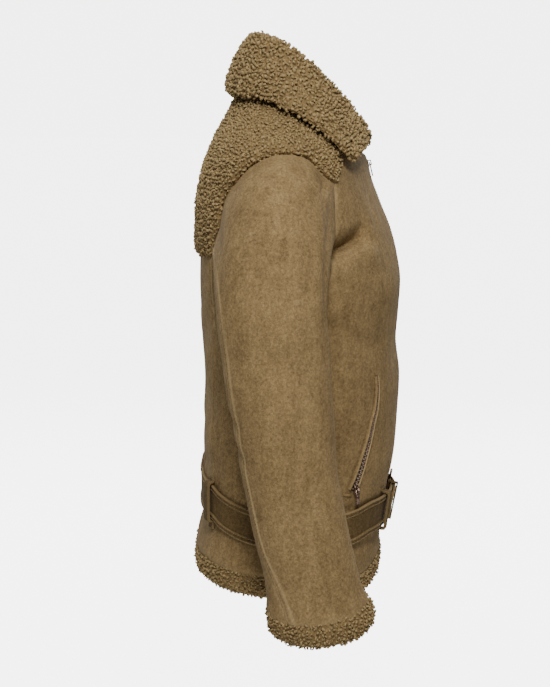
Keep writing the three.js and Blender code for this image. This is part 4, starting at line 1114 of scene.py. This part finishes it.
# %% Tapes, welts and tabs
POCKET = [[53.6, -285.5], [53.2, -297], [53.3, -312], [54.1, -326], [55.8, -340], [57.2, -355],
          [58.8, -369], [60.6, -383], [62.3, -397], [63.8, -409], [65, -418]]
POCKET_TAB = [[65.9, -422.8], [68, -422], [70, -419.8]]


def strip_frame(path):
    """Points of a path on the skin with the directions across it and out of it."""
    base, out = on_skin(path)
    across = unit(np.cross(out, unit(np.gradient(base, axis=0))))
    return base, across, out


STRIP_FOOT = 0.5


def strip(name, path, side_steps, high, flip):
    """A band along a path: distances across it and a height for each of them."""
    base, across, out = strip_frame(path)
    side_steps = np.asarray(side_steps, float).reshape(len(side_steps), -1, 1)
    grids = [(base[None] + across[None] * side_steps + out[None] * lift[:, None, None]) * flip
             for lift in (np.asarray(high), np.full(len(high), STRIP_FOOT))]
    cut_size(grids[0])
    return wall(name, *grids)


pocket_path = seam_steps(POCKET, 96)
tab_path = seam_steps(POCKET_TAB, 12)
opened = np.linspace(0, 1, len(pocket_path))      # the slit is shut at its top and gapes at its foot
opening = 1.3 + 3.0 * opened
welt = np.linspace(0, 1, 9)
welt_roll = np.sqrt(np.clip(1 - ((welt - 0.28) / 0.32) ** 2, 0, 1)) * (welt < 0.6)
welt_high = 0.7 + 2.2 * welt_roll + 0.3 * (welt > 0.3) * (1 - welt)
pocket_parts = {}
for side, flip in SIDES:
    tape_steps = np.linspace(-1, 1, 5)[:, None] * (opening + 0.6)
    pocket_parts[f"tape_{side}"] = strip(f"pocket_tape_{side}", pocket_path, tape_steps, [1.3] * 5, flip)
    # the last number is the strength of the painted highlight on each welt's roll
    for place_name, way, broad, highlight_amount in (("front", -1, 2.8, 1.1), ("back", 1, 6.3, 0.35)):
        lines = way * (opening + broad * (0.55 + 0.45 * opened) * welt[:, None])
        order = slice(None) if way > 0 else slice(None, None, -1)
        piece = strip(f"pocket_welt_{place_name}_{side}", pocket_path, lines[order], welt_high[order], flip)
        # painted highlight along the roll of the welt
        highlight_paint = highlight_amount * bell(welt, 0.2, 0.28)[order]
        paint(piece, "painted_highlight", np.tile(np.repeat(highlight_paint, len(pocket_path)), 2))
        pocket_parts[f"welt_{place_name}_{side}"] = piece
    tab_high = 0.8 + 1.6 * np.sqrt(1 - np.linspace(-0.95, 0.95, 7) ** 2)
    tab = strip(f"pocket_tab_leather_{side}", tab_path, np.linspace(-1.7, 1.7, 7), tab_high, flip)
    paint(tab, "painted_highlight", np.zeros(len(tab.data.vertices)))
    pocket_parts[f"tab_{side}"] = tab
ZIP_BELOW_HEM, ZIP_BELOW_NECK, ZIP_STEPS = 24, 1, 180
zip_levels = np.linspace(hem_level(0) - ZIP_BELOW_HEM, neck_level(0) - ZIP_BELOW_NECK, ZIP_STEPS)
front_line = skin(np.zeros(ZIP_STEPS), zip_levels, -1.5, fine=False)
front_out = skin_normal(np.zeros(ZIP_STEPS), zip_levels)
tape_x = np.linspace(-ZIP_HALF, ZIP_HALF, 5)[:, None, None] * np.array([1.0, 0, 0])
front_tape = wall("front_tape", *(front_line[None] + tape_x - front_out * depth for depth in (0.6, 3)))

# %% Tree that sets small parts along a line
def block(name, long, wide, high, cut):
    """A small closed block with its long edges cut, centred on the origin, in metres."""
    bm = bmesh.new()
    bmesh.ops.create_cube(bm, size=1)
    bmesh.ops.scale(bm, vec=(long * MM, wide * MM, high * MM), verts=bm.verts)
    bmesh.ops.bevel(bm, geom=[e for e in bm.edges if e.verts[0].co.z > 0 and e.verts[1].co.z > 0],
                    offset=cut * MM, segments=1, affect="EDGES")
    mesh = bpy.data.meshes.new(name)
    bm.to_mesh(mesh)
    bm.free()
    return bpy.data.objects.new(name, mesh)


def setting_tree(name, part, material):
    """Put one part on each point, its X along 'along' and its Z along 'out'."""
    tree, enter, leave = growing_tree(name, [("Part Size", FLOAT, 1.0)])
    info = add(tree, "GeometryNodeObjectInfo", {"Object": part})
    to_points = add(tree, "GeometryNodeMeshToPoints", {"Mesh": enter.outputs["Geometry"]})
    turn = {}
    for axis, pivot, label in (("X", "AUTO", "along"), ("Z", "X", "out")):
        stored = add(tree, "GeometryNodeInputNamedAttribute", {"Name": label}, data_type="FLOAT_VECTOR")
        align = add(tree, "FunctionNodeAlignRotationToVector", {
            "Vector": stored.outputs["Attribute"], **turn}, axis=axis, pivot_axis=pivot)
        turn = {"Rotation": align.outputs["Rotation"]}
    grown = add(tree, "GeometryNodeInputNamedAttribute", {"Name": "grown"})
    size = maths(tree, "MULTIPLY", enter.outputs["Part Size"], grown.outputs["Attribute"])
    place = add(tree, "GeometryNodeInstanceOnPoints", {
        "Points": to_points.outputs["Points"], "Instance": info.outputs["Geometry"], "Scale": size, **turn})
    end_tree(tree, leave, place.outputs["Instances"], material)
    return tree


def set_along(name, places, along, out, tree, grown=None):
    """Points in millimetres with their two directions and sizes, turned into parts by a tree."""
    mesh = bpy.data.meshes.new("places")
    mesh.from_pydata((places * MM).tolist(), [], [])
    for label, vectors in (("along", along), ("out", out)):
        stored = mesh.attributes.new(label, "FLOAT_VECTOR", "POINT")
        stored.data.foreach_set("vector", vectors.astype(np.float32).ravel())
    carrier = linked("places", mesh)
    paint(carrier, "grown", np.ones(len(places)) if grown is None else grown)
    return grow(name, carrier, tree, {"Part Size": 1.0})


def even_places(line, pitch, *more):
    """Resample a line, and what goes with it, at an even pitch."""
    at = np.arange(pitch / 2, lengths_along(line)[-1], pitch)
    return [resample(line, at, values) for values in (line, *more)]


TOOTH_PITCH = 2.3     # coarse metal teeth, drawn a little apart so that the dark tape shows between them
FRONT_TOOTH_PITCH = 1.3
tooth_tree = setting_tree("zip_teeth", block("tooth", 2.6, 1.15, 1.3, 0.3), tooth_metal)
teeth = {}


def zip_teeth(name, line, across, out, pitch, lift, flip, spread):
    """Teeth in two rows that mesh; spread says how much they grow from the first to the last."""
    at, aside, up = even_places(line, pitch, across, out)
    grown = np.linspace(*spread, len(at))
    swing = (np.where(np.arange(len(at)) % 2, 0.75, -0.75) * grown)[:, None]
    places = (at + aside * swing + up * lift) * flip
    return set_along(name, places, unit(aside) * flip, unit(up) * flip, tooth_tree, grown)


base, across, out = strip_frame(pocket_path)
for side, flip in SIDES:
    teeth[f"pocket_{side}"] = zip_teeth(f"pocket_teeth_{side}", base, across, out, TOOTH_PITCH, 2.0, flip,
                                        (0.8, 1.5))
sideways = np.tile([1.0, 0, 0], (ZIP_STEPS, 1))
teeth["front"] = zip_teeth("front_teeth", front_line, sideways, front_out, FRONT_TOOTH_PITCH, -0.1, 1, (1, 1))
print("teeth on a pocket zip:", len(even_places(base, TOOTH_PITCH)[0]))

# %% [markdown]
# Thread: each seam is sewn with short stitches that sink a little at both ends. The same kind of
# tree sets them, one every three and a half millimetres, on lines a few millimetres inside a seam.

# %% Stitches
def stitch_part():
    """A short thread that bows up in the middle."""
    ring = [(-1.35, -0.16, 0.14), (-0.7, 0.12, 0.3), (0.7, 0.12, 0.3), (1.35, -0.16, 0.14)]
    turns = np.arange(4) * math.pi / 2
    points = [(x, r * math.cos(a), z + r * math.sin(a)) for x, z, r in ring for a in turns]
    faces = [(k + s, k + (s + 1) % 4, k + 4 + (s + 1) % 4, k + 4 + s) for k in (0, 4, 8) for s in range(4)]
    faces += [(3, 2, 1, 0), (12, 13, 14, 15)]
    return little_part("stitch", points, faces)


STITCH_PITCH = 3.5
stitch_tree = setting_tree("stitch_rows", stitch_part(), thread)


def grid_of(piece, rows, columns):
    """The outer grid of a wall, read back from its mesh, in millimetres."""
    co = np.empty(len(piece.data.vertices) * 3, np.float32)
    piece.data.vertices.foreach_get("co", co)
    return co.reshape(-1, 3)[:rows * columns].reshape(rows, columns, 3).astype(float) / MM


def inset_line(grid, edge, far):
    """The line that runs far millimetres inside one edge of a grid, and its outward direction."""
    if edge in ("bottom", "top"):
        grid = grid.transpose(1, 0, 2)
    if edge in ("right", "top"):
        grid = grid[:, ::-1]
    line, further = (np.array([resample(row, d) for row in grid]) for d in (far, far + 1.5))
    return line, further - line


def sew(name, piece, shape, rows, centre):
    """Rows of stitches on a panel; centre gives points inside the garment's tube, to face away from."""
    grid = grid_of(piece, *shape)
    places, along, out = [], [], []
    for edge, far in rows:
        line, aside = inset_line(grid, edge, far)
        way = unit(np.gradient(line, axis=0))
        up = unit(np.cross(way, aside))
        heart = line - centre(line)
        up = np.where(np.sum(up * heart, -1, keepdims=True) < 0, -up, up)
        at, w, u = even_places(line, STITCH_PITCH, way, up)
        places.append(at + unit(u) * 0.12)
        along.append(unit(w))
        out.append(unit(u))
    return set_along(name, np.vstack(places), np.vstack(along), np.vstack(out), stitch_tree)


def trunk_heart(line):
    return np.stack([np.zeros(len(line)), np.zeros(len(line)), line[:, 2]], -1)


def sleeve_heart(line):
    level = np.clip(line[:, 2], SLEEVE[-1, 0], SLEEVE[0, 0])
    x, y = (np.interp(level, SLEEVE[::-1, 0], SLEEVE[::-1, k]) for k in (1, 2))
    return np.stack([np.sign(line[:, 0]) * x, y, np.minimum(line[:, 2], -150)], -1)


def strap_heart(line):
    return line * [0.5, 0.5, 1]


seams = {}
for side, _ in SIDES:
    shape = (SLEEVE_ROWS, BACK_SEAM_STEP + 1)
    for part, piece_name, size, edge, heart in (
            ("sleeve_top", "sleeve", shape, "right", sleeve_heart),
            ("side_back", "side_back", side_back_grid.shape[:2], "right", trunk_heart),
            ("front", "front", front_grid.shape[:2], "left", trunk_heart)):
        seams[f"{part}_{side}"] = sew(f"{piece_name}_stitches_{side}", panels[f"{part}_{side}"], size,
                                      [(edge, far) for far in LAP_ROWS], heart)
seams["belt"] = sew("belt_stitches", belt, (len(belt_across), len(belt_angles)),
                    [(edge, far) for edge in ("bottom", "top") for far in (2.2, BELT_BAND - 1.2)], strap_heart)
print("stitches on the belt:", triangles(seams["belt"]) // 28)

# %% [markdown]
# Sliders, pull tabs, buckle, prong and keeper are the solids' own shapes. A copy of each is merged
# and gets its edges rounded, because cast metal and folded leather have no knife edges.

# %% Rounded hardware
def rounded(name, node, width):
    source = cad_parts[node]
    bm = bmesh.new()
    bm.from_mesh(source.data)
    bmesh.ops.remove_doubles(bm, verts=bm.verts, dist=1e-6)
    sharp = [e for e in bm.edges if len(e.link_faces) == 2 and e.calc_face_angle(0) > math.radians(30)]
    bmesh.ops.bevel(bm, geom=sharp, offset=width * MM, segments=2, affect="EDGES", clamp_overlap=True)
    mesh = bpy.data.meshes.new(name)
    bm.to_mesh(mesh)
    bm.free()
    mesh.shade_smooth()
    mesh.set_sharp_from_angle(angle=math.radians(40))
    return kept(name, mesh)


hardware = {}
for node, width in [("slider_pocket_R", 0.45), ("slider_pocket_L", 0.45), ("slider_front", 0.45),
                    ("pull_pocket_R", 0.35), ("pull_pocket_L", 0.35), ("pull_front", 0.35),
                    ("buckle_frame", 0.9), ("buckle_prong", 0.5), ("belt_keeper", 0.4)]:
    hardware[node] = rounded(f"{node}_cast", node, width)
print("hardware:", {k: triangles(v) for k, v in hardware.items()})

# %% [markdown]
# Two shader groups carry what the finishes share. The suede group mixes slow and quick mottling,
# faint streaks down the nap and a fine grain, and mixes in a painted highlight on ridges and edges.
# The wool group darkens the root of a curl, because little light reaches it, and frizzes the surface.

# %% Shader groups
def noise(tree, scale, detail=3, roughness=0.55, stretch=None):
    place = add(tree, "ShaderNodeTexCoord").outputs["Object"]
    if stretch:
        place = add(tree, "ShaderNodeMapping", {"Scale": stretch, "Vector": place}).outputs["Vector"]
    return add(tree, "ShaderNodeTexNoise", {
        "Scale": scale, "Detail": detail, "Roughness": roughness, "Vector": place}).outputs["Fac"]


def spread_out(tree, value, low, high, to_low=0.0, to_high=1.0):
    ranges = {"Value": value, "From Min": low, "From Max": high, "To Min": to_low, "To Max": to_high}
    return add(tree, "ShaderNodeMapRange", ranges).outputs["Result"]


def blend_colors(tree, fac, a, b, mode="MIX"):
    return add(tree, "ShaderNodeMix", {0: fac, 6: a, 7: b}, data_type="RGBA", blend_type=mode).outputs[2]


def shades(tree, color, *values):
    """A colour made darker and lighter by each value in turn."""
    for value in values:
        color = blend_colors(tree, 1.0, color, value, "MULTIPLY")
    return color


suede_group, g_in, g_out = group_tree(
    "suede_nap", "ShaderNodeTree",
    [("Dark", COLOR, (0.2, 0.14, 0.08, 1)), ("Light", COLOR, (0.3, 0.2, 0.1, 1)),
     ("Highlight Color", COLOR, (0.4, 0.3, 0.2, 1)), ("Painted Highlight", FLOAT, 0.0)], [("Color", COLOR), ("Height", FLOAT)])
t = suede_group
nap, grain = noise(t, 300, 4, 0.7), noise(t, 700, 4, 0.7)
tone = None
mottling = spread_out(t, noise(t, 13, 4, 0.6), 0.32, 0.68)
patches = spread_out(t, noise(t, 64, 5, 0.68), 0.3, 0.7)
streaks = spread_out(t, noise(t, 90, 4, 0.65, (1, 1, 0.2)), 0.3, 0.7)
raised = spread_out(t, nap, 0.32, 0.68)
for value, weight in ((mottling, 0.2), (patches, 0.28), (streaks, 0.28), (raised, 0.24)):
    weighed = maths(t, "MULTIPLY", value, weight)
    tone = weighed if tone is None else maths(t, "ADD", tone, weighed)
color = shades(t, blend_colors(t, tone, g_in.outputs["Dark"], g_in.outputs["Light"]),
               spread_out(t, grain, 0.35, 0.65, 0.74, 1.2), spread_out(t, nap, 0.32, 0.68, 0.8, 1.2))
# painted highlight: the pale colour is mixed in on ridges and edges
color = blend_colors(t, maths(t, "MULTIPLY", g_in.outputs["Painted Highlight"], 0.75), color, g_in.outputs["Highlight Color"])
join(t, color, g_out.inputs["Color"])
height = maths(t, "ADD", maths(t, "MULTIPLY", grain, 0.4), maths(t, "MULTIPLY", nap, 0.6))
join(t, height, g_out.inputs["Height"])

wool_group, g_in, g_out = group_tree(
    "wool_tone", "ShaderNodeTree",
    [("Root Shade", COLOR, (0.1, 0.07, 0.04, 1)), ("Light", COLOR, (0.4, 0.3, 0.2, 1)), ("Tip", FLOAT, 1.0)],
    [("Color", COLOR), ("Height", FLOAT)])
t = wool_group
# painted shade: dark at the root of a curl and between nubs, light at the tip
color = shades(t, blend_colors(t, g_in.outputs["Tip"], g_in.outputs["Root Shade"], g_in.outputs["Light"]),
               spread_out(t, noise(t, 90, 3, 0.6), 0.3, 0.7, 0.82, 1.12),
               spread_out(t, noise(t, 260, 2, 0.5), 0.3, 0.7, 0.78, 1.15))
join(t, color, g_out.inputs["Color"])
join(t, noise(t, 1500, 3, 0.7), g_out.inputs["Height"])
print("groups:", suede_group.name, len(suede_group.nodes), wool_group.name, len(wool_group.nodes))

# %% [markdown]
# Suede scatters light at its edges like velvet, so its shader has sheen and a high roughness; the
# grain only tilts the surface. Wool is rougher still. Thread is a little paler than the suede.
# The zips and buckle are copper that has darkened, mottled with patches of brighter metal.

# %% Finishes
def srgb(r, g, b):
    """Linear colour from ordinary screen values."""
    return tuple(((v / 255 + 0.055) / 1.055) ** 2.4 if v > 10 else v / 3294 for v in (r, g, b)) + (1.0,)


def start(material, roughness, metallic=0.0, sheen=0.0, tint=(1, 1, 1, 1), specular=0.5):
    material.use_nodes = True
    shader = material.node_tree.nodes["Principled BSDF"]
    for label, value in (("Roughness", roughness), ("Metallic", metallic), ("Sheen Weight", sheen),
                         ("Sheen Roughness", 0.5), ("Sheen Tint", tint), ("Specular IOR Level", specular)):
        shader.inputs[label].default_value = value
    return material.node_tree, shader


def attribute(tree, name):
    return add(tree, "ShaderNodeAttribute", attribute_name=name).outputs["Fac"]


def bump(tree, shader, height, strength, distance):
    tilted = add(tree, "ShaderNodeBump", {"Strength": strength, "Distance": distance, "Height": height})
    join(tree, tilted.outputs["Normal"], shader.inputs["Normal"])


def group_color(tree, shader, group, values):
    """Place a shader group with its own values and let it colour the surface."""
    placed = tree.nodes.new("ShaderNodeGroup")
    placed.node_tree = group
    for label, value in values.items():
        if isinstance(value, bpy.types.NodeSocket):
            join(tree, value, placed.inputs[label])
        else:
            placed.inputs[label].default_value = value
    join(tree, placed.outputs["Color"], shader.inputs["Base Color"])
    return placed.outputs["Height"]


def suede_finish(material, dark, light, highlight_paint):
    tree, shader = start(material, 0.95, sheen=0.05, tint=light, specular=0.2)
    height = group_color(tree, shader, suede_group, {
        "Dark": dark, "Light": light, "Highlight Color": highlight_paint, "Painted Highlight": attribute(tree, "painted_highlight")})
    bump(tree, shader, height, 0.7, 0.0009)


def wool_finish(material, root_shade, light, curled):
    """Curls know their own tips; the dense foot under them gets round nubs from a cell pattern, with painted
    shade between the nubs.
    """
    tree, shader = start(material, 0.95, sheen=0.25, tint=light, specular=0.15)
    if curled:
        tip, strength, distance = attribute(tree, "tip"), 0.5, 0.0004
    else:
        place = add(tree, "ShaderNodeTexCoord").outputs["Object"]
        cells = add(tree, "ShaderNodeTexVoronoi", {"Scale": 230, "Vector": place})
        tip, strength, distance = spread_out(tree, cells.outputs["Distance"], 0.1, 0.62, 1, 0.15), 0.9, 0.0022
    height = group_color(tree, shader, wool_group, {"Root Shade": root_shade, "Light": light, "Tip": tip})
    bump(tree, shader, height if curled else tip, strength, distance)


def woven_finish(material, roughness, dark, light, scale):
    tree, shader = start(material, roughness)
    join(tree, blend_colors(tree, noise(tree, scale), dark, light), shader.inputs["Base Color"])
    return tree, shader


def metal_finish(material, dark, bright, roughness):
    tree, shader = start(material, roughness, metallic=1.0)
    color = blend_colors(tree, spread_out(tree, noise(tree, 900, 3, 0.6), 0.35, 0.65), dark, bright)
    join(tree, color, shader.inputs["Base Color"])
    rough = spread_out(tree, noise(tree, 500, 3, 0.6), 0.3, 0.7, roughness - 0.1, roughness + 0.14)
    join(tree, rough, shader.inputs["Roughness"])
    bump(tree, shader, noise(tree, 1200, 2, 0.5), 0.15, 0.0002)


# the third colour of each suede is the painted highlight on ridges and edges
suede_finish(suede, srgb(104, 83, 51), srgb(172, 143, 97), srgb(204, 178, 130))
suede_finish(belt_suede, srgb(84, 66, 38), srgb(118, 96, 60), srgb(166, 140, 96))
# the first colour of each wool is painted shade, at the roots of the curls and between the nubs of the foot
wool_finish(wool_curl, srgb(144, 121, 81), srgb(188, 162, 115), curled=True)
wool_finish(fleece_foot, srgb(128, 104, 68), srgb(166, 140, 95), curled=False)
metal_finish(copper, srgb(58, 44, 38), srgb(168, 138, 118), 0.36)
metal_finish(tooth_metal, srgb(150, 120, 98), srgb(226, 200, 178), 0.5)
woven_finish(thread, 0.8, srgb(140, 116, 78), srgb(182, 156, 112), 600)
tape_tree, tape_shader = woven_finish(zip_tape, 0.9, srgb(26, 20, 15), srgb(44, 34, 25), 1400)
bump(tape_tree, tape_shader, noise(tape_tree, 1600, 2), 0.4, 0.0003)
print("finishes ready")

# %% Dress the pieces
def dress(piece, *materials):
    piece.data.materials.clear()
    for material in materials:
        piece.data.materials.append(material)


for piece in panels.values():
    dress(piece, suede, fleece_foot)
dress(yoke, fleece_foot, suede)
dress(collar, fleece_foot, suede)
for piece in (hem_band, cuffs["R"], cuffs["L"]):
    dress(piece, fleece_foot, fleece_foot)
for piece in (belt, *loops.values(), hardware["belt_keeper"]):
    dress(piece, belt_suede, belt_suede)
for key, piece in pocket_parts.items():
    dress(piece, *([zip_tape, zip_tape] if "tape" in key else [suede, suede]))
dress(front_tape, zip_tape, zip_tape)
for key, piece in hardware.items():
    if key != "belt_keeper":
        dress(piece, copper)
print("dressed", len(pieces_made), "pieces")

# %% [markdown]
# Each piece now hides the solids that it stands for and hangs from the body that carries it.
# Curls and stitches go with the cloth that they are part of.

# %% Tie the pieces to the frame
def carry(piece, slot, *nodes, body="jacket"):
    if nodes:
        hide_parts(*nodes)
    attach(piece, body)


def cloth(piece, held, rests_on):
    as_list(rests_on)


for side, _ in SIDES:
    for part in (f"front_{side}", f"side_back_{side}", f"sleeve_top_{side}"):
        carry(panels[part], "suede", part)
        carry(seams[part], "suede")
        cloth(panels[part], "hung", ["yoke_fleece"])
    carry(panels[f"sleeve_under_{side}"], "suede", f"sleeve_under_{side}")
    cloth(panels[f"sleeve_under_{side}"], "hung", [f"front_panel_{side}"])
    carry(cuffs[side], "wool", f"cuff_{side}")
    carry(curls[f"cuff_curls_{side}"], "wool")
    cloth(cuffs[side], "hung", [f"sleeve_top_panel_{side}"])
    carry(pocket_parts[f"tape_{side}"], "zip_tape", f"pocket_zip_{side}")
    carry(teeth[f"pocket_{side}"], "copper")
    for place_name in ("front", "back"):
        carry(pocket_parts[f"welt_{place_name}_{side}"], "suede", f"pocket_lip_{place_name}_{side}")
        carry(loops[f"{place_name}_{side}"], "belt_suede", f"belt_loop_{place_name}_{side}")
    carry(pocket_parts[f"tab_{side}"], "belt_suede", f"pocket_tab_{side}")
    carry(hardware[f"slider_pocket_{side}"], "copper", f"slider_pocket_{side}")
    carry(hardware[f"pull_pocket_{side}"], "copper", f"pull_pocket_{side}", body=f"pull_pocket_{side}")
carry(panels["back"], "suede", "back")
cloth(panels["back"], "hung", ["yoke_fleece"])
for piece, node, curl, held, below in (
        (yoke, "yoke", "yoke_curls", "draped", ["front_panel_R", "front_panel_L"]),
        (collar, "collar", "collar_curls", "folded", ["yoke_fleece"]),
        (hem_band, "hem_band", "hem_curls", "hung", ["back_panel"])):
    carry(piece, "wool", node)
    carry(curls[curl], "wool")
    cloth(piece, held, below)
carry(belt, "belt_suede", "belt")
carry(seams["belt"], "belt_suede")
cloth(belt, "draped", ["loop_front_R", "loop_front_L"])
carry(front_tape, "zip_tape", "front_zip")
carry(teeth["front"], "copper")
carry(hardware["pull_front"], "copper", "pull_front", body="pull_front")
for node in ("slider_front", "buckle_frame", "buckle_prong"):
    carry(hardware[node], "copper", node)
carry(hardware["belt_keeper"], "belt_suede", "belt_keeper")
total = sum(triangles(p) for p in pieces_made.values())
print("triangles in all:", total, "largest:", max((triangles(p), n) for n, p in pieces_made.items()))

# %% [markdown]
# The studio is plain: a pale floor well below the jacket and a bright even surround. One soft light
# hangs ahead of the jacket's right side and one above it, and two weaker ones fill the far side in
# front and behind. The camera stands level with the neck, square to the jacket's right side, at the
# distance that gives the photograph's perspective.

# %% Floor, lights and camera
scene = bpy.context.scene
floor_mesh = bpy.data.meshes.new("studio_floor")
FLOOR_HALF, FLOOR_LEVEL = 40, -0.9
corners = [(x * FLOOR_HALF, y * FLOOR_HALF, FLOOR_LEVEL) for x, y in ((-1, -1), (1, -1), (1, 1), (-1, 1))]
floor_mesh.from_pydata(corners, [], [(0, 1, 2, 3)])
BACKDROP, WORLD_LIGHT = 5.0, 0.1
floor = linked("studio_floor", floor_mesh)


def lit_backdrop(tree, lighting, seen):
    """White light of one strength on the jacket, and a brighter white where the camera sees past it."""
    is_seen = add(tree, "ShaderNodeLightPath").outputs["Is Camera Ray"]
    return maths(tree, "ADD", lighting, maths(tree, "MULTIPLY", is_seen, seen - lighting))


pale = bpy.data.materials.new("pale_floor")
pale_tree, pale_shader = start(pale, 0.9)
pale_shader.inputs["Base Color"].default_value = (0.8, 0.8, 0.8, 1)
pale_shader.inputs["Emission Color"].default_value = (1, 1, 1, 1)
join(pale_tree, lit_backdrop(pale_tree, 0.05, BACKDROP), pale_shader.inputs["Emission Strength"])
floor_mesh.materials.append(pale)
floor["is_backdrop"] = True

world = bpy.data.worlds.new("studio")
world.use_nodes = True
background = world.node_tree.nodes["Background"]
is_seen = add(world.node_tree, "ShaderNodeLightPath").outputs["Is Camera Ray"]
world_color = blend_colors(world.node_tree, is_seen, (0.84, 0.97, 1.16, 1), (1, 1, 1, 1))
join(world.node_tree, world_color, background.inputs["Color"])
join(world.node_tree, lit_backdrop(world.node_tree, WORLD_LIGHT, BACKDROP), background.inputs["Strength"])
scene.world = world


def soft_light(name, place, target, size, power):
    light = bpy.data.lights.new(name, "AREA")
    light.shape, light.size, light.energy = "DISK", size, power
    lamp = linked(name, light)
    lamp.location = place
    way = np.array(target) - np.array(place)
    yaw, pitch = math.atan2(way[0], -way[1]), math.atan2(-way[2], math.hypot(way[0], way[1]))
    lamp.rotation_euler = (math.pi / 2 - pitch, 0, math.pi + yaw)


soft_light("key", (-1.75, -0.05, 1.1), (0, 0, -0.25), 0.6, 33)
soft_light("top", (-0.5, 0.0, 2.1), (0, 0, -0.1), 1.0, 18)
soft_light("front_fill", (2.5, -1.2, 0.9), (0, 0, -0.25), 0.8, 42)
soft_light("back_fill", (2.4, 1.35, 0.9), (0, 0, -0.25), 0.9, 38)

CAMERA_AT, CAMERA_TO, LENS = (-2.2, 0.015, 0.038), (0, 0.015, -0.2664), 93.1
camera_data = bpy.data.cameras.new("camera")
camera_data.lens, camera_data.sensor_width = LENS, 36
camera = linked("camera", camera_data)
camera.location = CAMERA_AT
drop = math.atan2(CAMERA_AT[2] - CAMERA_TO[2], CAMERA_TO[0] - CAMERA_AT[0])
camera.rotation_euler = (math.pi / 2 - drop, 0, -math.pi / 2)
camera_data.clip_end = 200
scene.camera = camera
print("camera looks down by", round(math.degrees(drop), 2), "degrees")

# %% Print the sizes and finish
as_lists = lambda box: [[round(v, 5) for v in corner] for corner in box]
shown_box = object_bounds()
{"cad": as_lists(cad_box), "shown": as_lists(shown_box)}
print("shown box", as_lists(shown_box))
